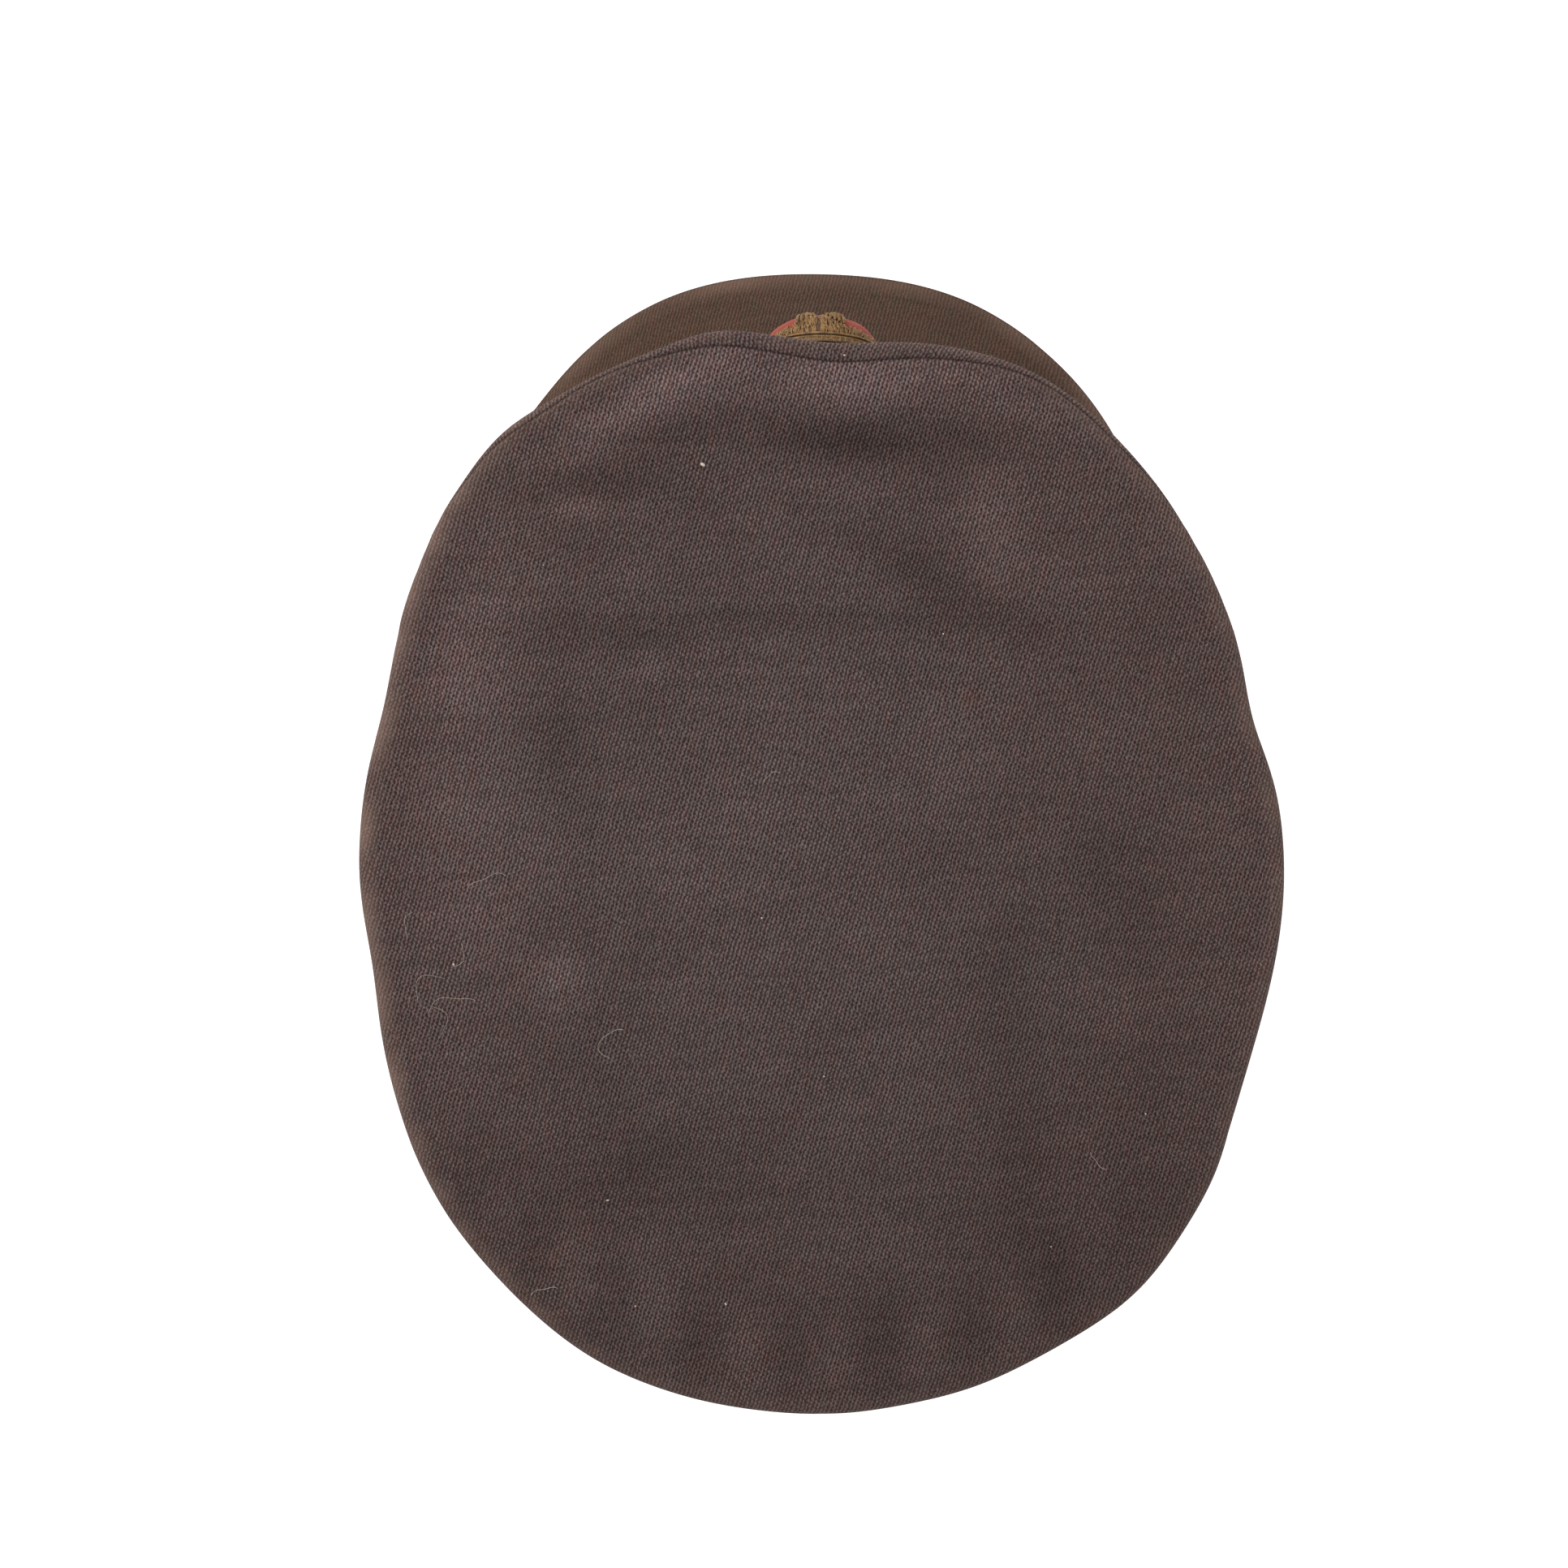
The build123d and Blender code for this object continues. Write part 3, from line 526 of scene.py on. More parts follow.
# Where the rim has settled in or out with age: normal angle, half width in degrees, millimetres
RIM_SAGS = (
    (-1, 8, -2.6), (13, 6, 1.8), (32, 26, 4.6), (46, 10, 2.0), (41, 5, 0.6), (55, 4, 0.6),
    (60, 8, 0.6), (76, 5, -1.6), (96, 5, -1.7), (103, 6, -0.5), (180, 25, 0.4), (-180, 25, 0.4),
    (152, 14, 1.5), (-134, 12, 1.7), (-105, 8, -1.9), (-90, 7, 0.6), (-77, 4.5, -2.8),
    (-70, 6, -1.2), (-61, 10, -1.3), (-27, 14, 3.6),
)
grow = 0.12 * waves(PSI, 0, 14, 6)
for middle, width, height in RIM_SAGS:
    grow = grow + height * hump(PSI, middle, width)
RIM = np.stack(CROWN.at(PSI), axis=-1) + OUT * grow[:, None]


def in_rim(inset):
    """x and y that far inside the rim, in the crown's plane."""
    return RIM[:, 0] - OUT[:, 0] * inset, RIM[:, 1] - OUT[:, 1] * inset


crown_up = np.array([0, math.sin(CROWN_SLOPE), math.cos(CROWN_SLOPE)])
WAIST_POINTS = from_plane(*WAIST.at(PSI), 0.0, WAIST_MID, WAIST_SLOPE)


def band_line(offset, z, psi=PSI):
    """Points round the band, that far outside its cloth, at height z."""
    return np.stack(np.broadcast_arrays(*BAND.at(psi, offset), z), axis=-1)


BAND_POINTS = band_line(0, BAND_TOP)
roll_centre = from_plane(*in_rim(ROLL), TOP_W - ROLL)
OUT3 = np.stack(
    [OUT[:, 0], OUT[:, 1] * math.cos(CROWN_SLOPE), -OUT[:, 1] * math.sin(CROWN_SLOPE)], axis=-1
)
toward = WAIST_POINTS - roll_centre
fall = np.arctan2(-(toward @ crown_up), -np.sum(toward * OUT3, axis=1))
ROLL_END = np.pi - fall  # how far the cloth turns before it runs down the wall

# Ridges, creases and paler places of the top: x, y, half length, half width, turn in degrees,
# rise in millimetres, and how much paler (or darker) the cloth is painted there: painted light on
# the ridges and painted shade in the creases, with some real fading
RISE, PAINTED_TONE = 5, 6
TOP_PLACES = (
    (-4, -131, 20, 7, 0, 1.4, 1.0), (42, -126, 25, 6, 31, 1.6, 0.95),
    (-46, -127, 24, 6, -24, 1.0, 0.3), (-8, -115, 22, 5.5, 0, -1.8, -1.15),
    (30, -117, 17, 5, 14, -1.1, -0.5), (-42, -114, 18, 5, -10, -0.9, -0.35),
    (-27, -80, 28, 5.5, -28, -1.4, -0.55), (-44, -94, 15, 8, 80, 1.0, 0.4),
    (-8, -68, 66, 4.5, 0, -0.9, -0.34), (60, -99, 7, 3.5, 10, 0.3, 0.45),
    (66, 23, 6, 5, 30, 0.4, 0.6), (93, -58, 6, 12, 0, 0.3, 0.3),
    (86, -62, 16, 28, 0, 0.0, 0.36), (92, -6, 16, 44, 0, 0.5, 0.34),
    (66, -40, 8, 26, 4, -0.6, -0.34), (54, -65, 26, 5, 0, -0.4, -0.42),
    (54, -104, 24, 4, 0, -0.5, -0.5), (46, 76, 20, 15, 20, -0.8, -0.56),
    (-72, -6, 11, 18, 10, -0.7, -0.44), (-50, 48, 9, 48, 0, -0.4, -0.42),
    (-78, 34, 6, 14, 20, 0.3, 0.24), (-84, 40, 22, 44, 0, 0.0, -0.2),
    (0, 130, 140, 62, 0, 0.0, -0.34), (-72, 92, 46, 40, 0, 0.0, -0.34),
    (10, -16, 36, 56, 0, 0.0, 0.12), (42, -59, 3.5, 3.5, 0, 0.2, 0.4),
)


def places(x, y, kind):
    """The sum of the places' rise or painted light and shade at a point of the top."""
    total = np.zeros(np.broadcast(x, y).shape)
    for row in TOP_PLACES:
        turn = math.radians(row[4])
        along = (x - row[0]) * math.cos(turn) + (y - row[1]) * math.sin(turn)
        across = (y - row[1]) * math.cos(turn) - (x - row[0]) * math.sin(turn)
        total += row[kind] * np.exp(-((along / row[2]) ** 2) - (across / row[3]) ** 2)
    return total


def far_out(x, y):
    """0 in the middle of the top, 1 about where it ends."""
    return np.hypot(x / 118.0, y / 141.8)


def rear_folds(x, y):
    """Soft pleats where the top is eased round the back of the rim."""
    spread = x * 130 / (130 + 0.25 * (y - 120))  # the pleats fan out towards the edge
    reach = hump(far_out(x, y), 0.9, 0.085) * step(y, 70, 115)
    return np.cos(FULL * (spread - 19) / 23.5) * reach


def top_relief(x, y):
    """The top's height above its flat plane: it is slack, dished and creased."""
    far = far_out(x, y)
    dish = -1.5 * (1 - far**2)
    slack = 0.5 * waves(x, y, 70, 11) + 0.26 * waves(x, y, 30, 12) + 0.07 * waves(x, y, 12, 13)
    wide = (dish + 0.7 * rear_folds(x, y) + slack) * (1 - step(far, 0.95, 1.0))
    return wide + places(x, y, RISE) * (1 - step(far, 0.97, 1.02))


def profile(a):
    """Points on the outer face of the cloth and its outward normals.

    a is the distance from the start of the roll, one row for each; it may differ by column.
    """
    x, y = in_rim(ROLL - np.minimum(a, 0))
    angle = np.pi / 2 - np.clip(a / ROLL, 0, ROLL_END)
    relief = top_relief(x, y) * (a <= 0) * step(-a, 0, 6)
    on_top = from_plane(x, y, TOP_W + relief)
    normal = np.cos(angle)[..., None] * OUT3 + np.sin(angle)[..., None] * crown_up
    return np.where((a <= 0)[..., None], on_top, roll_centre + ROLL[:, None] * normal), normal


# Where the top is sewn to the walls: on top at the front, under the edge at the sides and back
SEAM_FRONT, SEAM_CORNER = -2.6, 1.6
seam_side = ROLL * ROLL_END * 0.94
SEAM = SEAM_FRONT + (SEAM_CORNER - SEAM_FRONT) * step(np.abs(PSI), 5, 33)
SEAM = SEAM + (seam_side - SEAM_CORNER) * step(np.abs(PSI), 33, 66) + 0.2 * waves(PSI, 0, 12, 9)
SEAM = np.minimum(SEAM + 0.6 * hump(PSI, 24, 12) - 0.9 * hump(PSI, 42, 12), seam_side)


def groove(distance, depth=0.34, width=0.5):
    """How far the cloth pulls in at that distance from a seam."""
    return depth * hump(distance, 0, width)


# The top: rows that grow from its middle, then close rows along the rim
INNER_ROWS, EDGE_ROWS, EDGE = 70, 46, 14
inner_share = np.linspace(0.015, 1, INNER_ROWS)[:, None] ** 0.8
inner_x, inner_y = (inner_share * line for line in in_rim(ROLL + EDGE))
inner = from_plane(inner_x, inner_y, TOP_W + top_relief(inner_x, inner_y))
edge_a = -EDGE + (SEAM + EDGE) * np.linspace(0, 1, EDGE_ROWS)[1:, None] ** 0.75
edge, edge_normal = profile(edge_a)
to_seam = SEAM - edge_a
pucker = 0.14 * waves(ARC, 0, 9, 21) * hump(to_seam, 2.5, 3) * hump(PSI, 0, 55)
edge = edge - edge_normal * (groove(to_seam) - pucker)[..., None]
flat_x, flat_y = in_rim(ROLL - edge_a)
all_x, all_y = np.concatenate([inner_x, flat_x]), np.concatenate([inner_y, flat_y])
top_uv = np.stack([-all_x, -all_y], axis=-1) * MM
top_uv = np.concatenate([top_uv, top_uv[:, :1]], axis=1)
zero = np.zeros((INNER_ROWS, COLUMNS))
RIM_WEAR = 0.25 + 0.85 * hump(PSI, 85, 55) + 0.25 * hump(PSI, -60, 40)  # the rim is paler, most towards +X
rubbed = step(edge_a, -3.5, 2.5) * RIM_WEAR * (0.7 + 0.3 * waves(ARC, edge_a, 16, 3))
browned = step(far_out(all_x, all_y), 0.45, 1.0) + 0.5 * step(-all_x, 10, 80)
# Painted light and shade: the places' paleness, and the rear pleats lighter on their crests and
# darker in their troughs
tone = places(all_x, all_y, PAINTED_TONE) + 0.3 * rear_folds(all_x, all_y)
# Painted shade along the groove of the top's seam
seam_shade = np.concatenate([zero, 0.9 * hump(to_seam, 0, 0.3)])
top_marks = {
    "rubbed": unit(np.concatenate([zero, rubbed])),
    "browned": unit(browned + 0.3 * waves(all_x, all_y, 45, 4)),
    # Painted light, partly real fading, where the places are paler and on the pleats' crests
    "lit_and_faded": unit(tone),
    # Painted shade along the seam and in the creases, where the places are darker
    "painted_shade": unit(seam_shade - 0.55 * np.minimum(tone, 0)),
}
crown_top = sheet_mesh(
    "crown_top_cloth", np.concatenate([inner, edge]), top_uv, top_marks,
    middle=from_plane(0.0, 0.0, TOP_W + top_relief(0.0, 0.0)),
)
place(crown_top, "crown_cloth", ["crown_top"])

# The steel hoop that keeps the rim out, and the sleeve over its joint
HOOP_INSET, HOOP_W, HOOP_R, SLEEVE_R = 3.4, -2.2, 1.2, 1.5
hoop_path = from_plane(*in_rim(HOOP_INSET), HOOP_W)[::3]
hoop = tube(hoop_path, HOOP_R, 12, closed=True)
sleeve = tube(hoop_path[7:18], SLEEVE_R, 16)
bundle("grommet_hoop", [hoop], "steel_wire", ["grommet_wire"])
bundle("grommet_sleeve", [sleeve], "brass", ["grommet_ferrule"])

# The walls: over the roll from the seam, then down to the band
WALL_ROLL_ROWS, WALL_ROWS = 14, 44
roll_a = SEAM + (ROLL * ROLL_END - SEAM) * np.linspace(0, 1, WALL_ROLL_ROWS)[:, None]
roll_part, roll_normal = profile(roll_a)
roll_part = roll_part - roll_normal * groove(roll_a - SEAM)[..., None]
last = profile((ROLL * ROLL_END)[None])[0][0]


def toward_waist(points):
    """Unit vectors from the points to the wall's waist."""
    along = WAIST_POINTS - points
    return along / np.linalg.norm(along, axis=1)[:, None]


PULL = 0.36  # how far the wall holds its direction at each end, as a share of its length
reach = PULL * np.linalg.norm(BAND_POINTS - last, axis=1)[:, None]
p1 = last + toward_waist(last) * reach
p2 = BAND_POINTS + toward_waist(BAND_POINTS) * reach
t = np.linspace(0, 1, WALL_ROWS + 1)[1:, None, None]
wall_part = (1 - t) ** 3 * last + 3 * (1 - t) ** 2 * t * p1 + 3 * (1 - t) * t**2 * p2
wall_part = wall_part + t**3 * BAND_POINTS
around = np.roll(wall_part, -1, 1) - np.roll(wall_part, 1, 1)
wall_normal = np.cross(around, np.gradient(wall_part, axis=0))
wall_normal /= np.linalg.norm(wall_normal, axis=2)[..., None]
if np.sum(wall_normal[20, COLUMNS // 2] * OUT3[COLUMNS // 2]) < 0:
    wall_normal = -wall_normal
t = t[..., 0]
buckle = 0.9 * waves(ARC, t * 40, 60, 31) + 0.35 * waves(ARC, t * 40, 24, 32)
buckle *= np.sin(np.pi * unit(t)) ** 0.8
wall_part = wall_part + wall_normal * buckle[..., None]
wall_part[-1] = BAND_POINTS
wall_points = np.concatenate([roll_part, wall_part])
down = walked(wall_points)
wall_v = down[-1] - down
rim_arc = walked(np.vstack([roll_part[0], roll_part[0, :1]]))
ROLL_RIDGE = np.concatenate([hump(roll_a, ROLL * 1.1, 3.0), np.zeros((WALL_ROWS, COLUMNS))])


def panel(name, start, end, node):
    """One wall panel between two normal angles; its edges pull in at the seams."""
    first = int(round((start + 180) / 360 * COLUMNS))
    count = int(round((end - start) / 360 * COLUMNS)) + 1
    pick = np.arange(first, first + count) % COLUMNS
    depth = down[:, pick]
    distance = np.minimum(np.arange(count), np.arange(count)[::-1])[None] * 2.2
    normals = np.concatenate([roll_normal, wall_normal])[:, pick]
    pull = groove(distance, 0.8, 1.5) * step(depth, -1, 2)
    points = wall_points[:, pick] - normals * pull[..., None]
    u = rim_arc[first] + np.concatenate([[0], np.cumsum(np.diff(rim_arc)[pick[:-1]])])
    u = u - rim_arc[COLUMNS // 2]
    uv = np.stack(np.broadcast_arrays(u, wall_v[:, pick]), axis=-1) * MM
    ridge = ROLL_RIDGE[:, pick] * (1 - 0.8 * hump(PSI[pick], 0, 60))
    seams = hump(distance, 0, 1.3) * step(depth, 0, 3)
    marks = {
        "browned": 0.8,
        "rubbed": unit(ridge * (0.6 + 0.4 * waves(ARC[pick], 0, 18, 41))),
        # Painted light along the roll's crest, partly real fading
        "lit_and_faded": 0.3 * ridge,
        # Painted shade along the seam at the panel's top and along its side seams
        "painted_shade": unit(0.9 * hump(depth, 0, 0.3) + 0.9 * seams),
    }
    made = sheet_mesh(name, points, uv, marks, closed=False)
    return place(made, "crown_cloth", [node])


front_panel = panel("crown_front_cloth", -96, 96, "crown_front_panel")
rear_left = panel("crown_rear_left_cloth", 96, 180, "crown_rear_panel_left")
rear_right = panel("crown_rear_right_cloth", -180, -96, "crown_rear_panel_right")


# Band, with its cloth-covered pipings

band_z = np.linspace(BAND_TOP + 0.3, 0.8, 26)[:, None]
sag = (0.16 * waves(ARC, band_z, 50, 51) - 0.3) * np.sin(np.pi * unit(band_z / BAND_TOP))
over_peak = step(np.abs(PSI), 84, 66)  # there it is turned down behind the peak's root
band_points = np.stack(
    [band_line(offset, z) for offset, z in zip(sag, band_z)]
    + [band_line(offset, z * over_peak) for offset, z in ((-0.3, 0), (-0.9, -0.45), (-2.2, -0.6))]
)
band_v = np.concatenate([band_z, [[0.0], [-0.8], [-2.2]]])
band_arc = walked(np.vstack([BAND_POINTS, BAND_POINTS[:1]]))
band_uv = np.stack(np.broadcast_arrays(band_arc, band_v), axis=-1) * MM
back_seam = np.minimum(np.abs(PSI + 180), np.abs(PSI - 180))[None] * 1.24
band_points[..., :2] -= (OUT * groove(back_seam[0], 0.5, 1.2)[:, None])[None]
band_marks = {
    "rubbed": 0.5 * step(band_v, 38, 41),
    # Painted shade at the back seam, under the upper piping and by the lower piping
    "painted_shade": unit(
        hump(back_seam, 0, 1.0) + 0.8 * step(band_v, 40.2, 42) + 0.7 * step(band_v, 3.2, 1.6)
    ),
}
band = sheet_mesh("band_cover", band_points, band_uv, band_marks)
place(band, "crown_cloth", ["band_cloth"])

PIPING_R, PIPING_ROWS = 1.3, 15
for name, z, node in (
    ("band_upper_piping", BAND_TOP - 1.05, "band_upper_welt"),
    ("band_lower_piping", PIPING_R, "band_lower_welt"),
):
    turn = np.linspace(0, FULL, PIPING_ROWS)[:, None]
    r = PIPING_R * (1 + 0.03 * waves(ARC, turn[:-1] * 8, 12, 62))
    r = np.concatenate([r, r[:1]])
    offset = r * np.cos(turn) + 0.08 * waves(ARC, 0, 30, 61) + 1.35
    points = band_line(offset, z + r * np.sin(turn))
    points[-1] = points[0]
    uv = np.stack(np.broadcast_arrays(band_arc, turn * PIPING_R), axis=-1) * MM
    piping = sheet_mesh(name, points, uv, {"rubbed": 0.7 * hump(turn, 0.3, 0.9)}, flip=True)
    place(piping, "crown_cloth", [node])


# Peak

PEAK_END = 70.4
PEAK_COLUMNS, PEAK_ROWS = 181, 40
PEAK_THICK = 3.0
peak_psi = np.linspace(-PEAK_END, PEAK_END, PEAK_COLUMNS)
peak_out = outward(peak_psi)
peak_slope = np.radians(46 + (38 - 46) * (peak_psi / 70) ** 2)[:, None]
# Longest at its shoulders, a little skewed, and drawn in towards its ends
peak_reach = 44.4 + 2.0 * step(np.abs(peak_psi), 0, 26) + np.sin(2 * np.radians(peak_psi))
for middle, width, less in ((-53, 8, 2.1), (54, 8, 1.8), (44, 5, 0.9)):
    peak_reach = peak_reach - less * hump(peak_psi, middle, width)
peak_reach = peak_reach * (1 - np.minimum(np.abs(peak_psi) / PEAK_END, 1) ** 3.4) ** 0.5
ROOT = band_line(-1.0, -0.25, peak_psi)
DOWN = np.concatenate([peak_out * np.cos(peak_slope), -np.sin(peak_slope)], axis=1)
ABOVE = np.concatenate([peak_out * np.sin(peak_slope), np.cos(peak_slope)], axis=1)


def peak_rows(depths, extra=0.0):
    """Rows of points at those shares of the peak's length, that far above its face."""
    length = np.maximum(peak_reach - 0.7, 0.3)[None, :, None]
    return ROOT + DOWN * (np.asarray(depths)[:, None, None] * length) + ABOVE * extra


peak_share = np.linspace(0, 1, PEAK_ROWS)[:, None]
bow = 0.5 * np.sin(np.pi * peak_share) * (1 - (peak_psi / PEAK_END) ** 2)
ripple = 0.18 * waves(ROOT[:, 0], peak_share * 45, 30, 71) * step(peak_share, 0, 0.1)
face_rows = peak_rows(peak_share[:, 0]) + ABOVE * (bow + ripple)[..., None]
turns = np.linspace(0, np.pi, 12)[1:, None, None]
edge_mid = peak_rows([1.0])[0] - ABOVE * PEAK_THICK / 2
edge_rows = edge_mid + PEAK_THICK / 2 * (np.sin(turns) * DOWN + np.cos(turns) * ABOVE)
under_rows = peak_rows(np.linspace(1, 0.9, 5)[1:], -PEAK_THICK)
cover = np.concatenate([face_rows, edge_rows, under_rows])
MIDDLE = PEAK_COLUMNS // 2
cover_v = walked(cover[:, MIDDLE])[:, None] - 0.42 * (ROOT[:, 1] - ROOT[MIDDLE, 1])
cover_uv = np.stack([-cover[..., 0], cover_v], axis=-1) * MM
rolled = np.concatenate([np.zeros(34), np.linspace(0, 1, 6), np.sin(turns[:, 0, 0]), np.zeros(4)])
cover_marks = {
    "rubbed": unit(rolled[:, None] * (0.45 + 0.3 * waves(ROOT[:, 0], 0, 20, 72))),
    # Painted shade at the peak's root, against the band
    "painted_shade": np.concatenate([hump(peak_share * 45, 0, 1.6), np.zeros((15, 1))]),
}
peak = sheet_mesh("peak_cover_cloth", cover, cover_uv, cover_marks, closed=False, flip=True)
place(peak, "peak_cloth", ["peak_cover", "peak_core"])

# Its underside, whose edge is tucked up behind the turned-in cloth
under = peak_rows(np.linspace(0.0, 0.945, 30), -PEAK_THICK - 0.02)
under = under + ABOVE * (0.25 * step(np.linspace(0, 1, 30), 0.9, 1.0))[:, None, None]
peak_under = sheet_mesh("peak_underside", under, under[..., :2] * MM, closed=False)
place(peak_under, "peak_leathercloth", ["peak_lining"])


# Lining: a flat top and a gathered side, a little inside the cloth

LINING_W, LINING_EDGE = -4.35, 6.5
lining_share = np.concatenate([np.linspace(0.04, 0.8, 14), np.linspace(0.82, 1, 26)])[:, None]
lx, ly = (lining_share * line for line in in_rim(LINING_EDGE))
gathers = 0.3 * np.sin(ARC / 2.6 + 0.8 * waves(ARC, 0, 40, 81)) * step(lining_share, 0.84, 0.99)
lining_points = from_plane(lx, ly, LINING_W + gathers - 0.1 * waves(lx, ly, 35, 82) ** 2)
lining_uv = np.stack([lx, ly], axis=-1) * MM
lining_uv = np.concatenate([lining_uv, lining_uv[:, :1]], axis=1)
lining_top = sheet_mesh(
    "lining_top_cloth", lining_points, lining_uv, middle=from_plane(0.0, 0.0, LINING_W)
)
place(lining_top, "lining_cloth", ["lining_top"])

# The binding of the clear shield over its middle
turn = np.linspace(0, FULL, 241)[:-1]
binding = tube(from_plane(44.0 * np.cos(turn), 62.0 * np.sin(turn), -4.9), 0.5, 8, closed=True)
bundle("sweat_shield_binding", [binding], "lining_cloth")

LINING_GAP = 1.9
deep = LINING_GAP + 1.5 * hump(PSI, 0, 9)  # deeper in front, where the stay is
side_rows = (wall_part - wall_normal * deep[None, :, None])[6:-1]
side_t = np.linspace(0, 1, len(side_rows) + 1)[1:, None]
side_fold = 0.28 * np.sin(ARC / 3.1 + 1.2 * waves(ARC, side_t * 30, 35, 83)) * (1 - 0.6 * side_t)
side_rows = side_rows - wall_normal[6:-1] * (0.3 + side_fold)[..., None]
foot = np.stack([band_line(-4.2, z) for z in np.linspace(BAND_TOP - 0.6, 37.0, 6)])
side_points = np.concatenate([lining_points[-1:], side_rows, foot])
side_v = np.linspace(0.06, 0, len(side_points))[:, None]
side_uv = np.stack(np.broadcast_arrays(rim_arc * MM, side_v), axis=-1)
lining_side = sheet_mesh("lining_side_cloth", side_points, side_uv, flip=True)
place(lining_side, "lining_cloth", ["lining_side"])


# Sweatband: a leather strip with a rolled top edge, sewn to its reed, with a ribbon bow behind

SWEAT_OUT, SWEAT_IN = 3.75, 4.8
sweat_profile = [(-SWEAT_OUT, z) for z in np.linspace(2.2, 35.2, 16)]
sweat_profile += [(-SWEAT_OUT - 0.1, 35.9), (-4.3, 36.2), (-SWEAT_IN - 0.1, 35.9)]
sweat_profile += [(-SWEAT_IN - 0.12 * math.sin(z), z) for z in np.linspace(35.0, 6.0, 14)]
sweat_profile += [(-SWEAT_IN - 0.15, 5.0), (-SWEAT_IN, 4.0), (-SWEAT_IN - 0.2, 2.9)]
sweat_profile += [(-4.5, 2.1), (-SWEAT_OUT, 2.2)]
sweat_rows = []
for offset, z in sweat_profile:
    inner_face = offset < -SWEAT_OUT - 0.3
    ripple = 0.22 * waves(ARC, z * 0.6, 34, 91) * step(z, 3, 14) if inner_face else 0
    sweat_rows.append(band_line(offset + ripple, z))
sweat_v = 2.0 * np.arange(1, len(sweat_rows) + 1)[:, None]
sweat_uv = np.stack(np.broadcast_arrays(band_arc, sweat_v), axis=-1) * MM
sweatband = sheet_mesh("sweatband_strip", np.stack(sweat_rows), sweat_uv)
place(sweatband, "sweatband_leather", ["sweatband"])


def stitches(name, path, length, gap, radius, slot, body="cap"):
    """A row of thread stitches: short capsules that dip into the leather at each end."""
    shares, swell = np.array([0, 0.2, 0.5, 0.8, 1]), np.array([0.35, 0.9, 1, 0.9, 0.35])
    made, at, end = [], 0.0, walked(path)[-1]
    while at + length < end:
        made.append(tube(points_along(path, at + length * shares), radius * swell, 6))
        at += length + gap
    return bundle(name, made, slot, material=thread, body=body)


seam_path = band_line(-SWEAT_IN - 0.05, 4.0, np.linspace(-179, 179, 700))
stitches("sweatband_stitches", seam_path, 2.2, 0.9, 0.26, "ribbon")


def ribbon_strip(name, path, width, thick, across, replaces=()):
    """A flat ribbon along a path, its width along a given direction."""
    path, across = np.asarray(path, float), np.asarray(across, float)
    face = np.cross(np.gradient(path, axis=0), across)
    face /= np.linalg.norm(face, axis=1)[:, None]
    ring = [(-1, -1), (-0.96, 1), (0, 1.15), (0.96, 1), (1, -1), (0, -0.85)]
    rows = [path + across * width / 2 * a + face * thick / 2 * b for a, b in ring]
    uv = np.zeros((len(path), len(ring) + 1, 2))
    return place(sheet_mesh(name, np.stack(rows, axis=1), uv), "ribbon", replaces)


bow_y, bow_z = BAND.a - SWEAT_IN - 0.9, 8.2
turn = np.linspace(0, FULL, 33)
share = np.linspace(0, 1, 14)
for side, sign in (("left", 1), ("right", -1)):
    loop = np.stack(
        [
            sign * (7 - 6.2 * np.cos(turn)),
            bow_y - 1.1 + 0.9 * np.sin(turn),
            bow_z + 0.5 * (1 - np.cos(turn)),
        ],
        axis=-1,
    )
    node = ["sweatband_bow"] if side == "left" else ()
    ribbon_strip(f"bow_loop_{side}", loop, 5.0, 0.3, (0, 0, 1), node)
    tail = np.stack(
        [
            sign * (1 + 11 * share),
            bow_y - 0.5 - 0.4 * np.sin(3 * share),
            bow_z - 1.0 - 3.0 * share**1.4,
        ],
        axis=-1,
    )
    ribbon_strip(f"bow_tail_{side}", tail, 4.4, 0.3, (0.25 * sign, 0, 0.97))
knot = [0 * turn, bow_y - 1.2 + 1.5 * np.cos(turn), bow_z + 2.6 * np.sin(turn)]
ribbon_strip("bow_knot", np.stack(knot, axis=-1), 3.6, 0.35, (1, 0, 0))


# Badge: a padded red dome on a cloth patch, ringed and barred with bullion wire

BADGE_AT = np.array([0.0, -119.1, 64.3])
BADGE_LEAN = math.radians(27)
BADGE_UP = np.array([0.0, -math.sin(BADGE_LEAN), math.cos(BADGE_LEAN)])
BADGE_OUT = np.array([0.0, -math.cos(BADGE_LEAN), -math.sin(BADGE_LEAN)])
DOME_R, DOME_H = 15.0, 9.0


def on_badge(x, y, h):
    """A point of the badge's own plane, h in front of it."""
    x, y, h = (v[..., None] for v in np.broadcast_arrays(x, y, h))
    return BADGE_AT + x * np.array([1.0, 0, 0]) + y * BADGE_UP + h * BADGE_OUT


def round_badge(r, angle, h):
    """A point at that radius and angle in the badge's plane, h in front of it."""
    return on_badge(r * np.cos(angle), r * np.sin(angle), h)


def dome_height(rho):
    """The pillow's height over the badge's plane at that radius: full, with steep sides."""
    return DOME_H * np.sqrt(np.maximum(1 - (np.minimum(rho, DOME_R) / DOME_R) ** 3, 0))


SPOKES = 96
around = np.linspace(0, FULL, SPOKES, endpoint=False)[None]


def badge_sheet(name, points, middle=None):
    """A closed sheet of the badge, which needs no cloth map."""
    uv = np.zeros((len(points), SPOKES + 1, 2))
    return sheet_mesh(name, points, uv, middle=middle, flip=True)


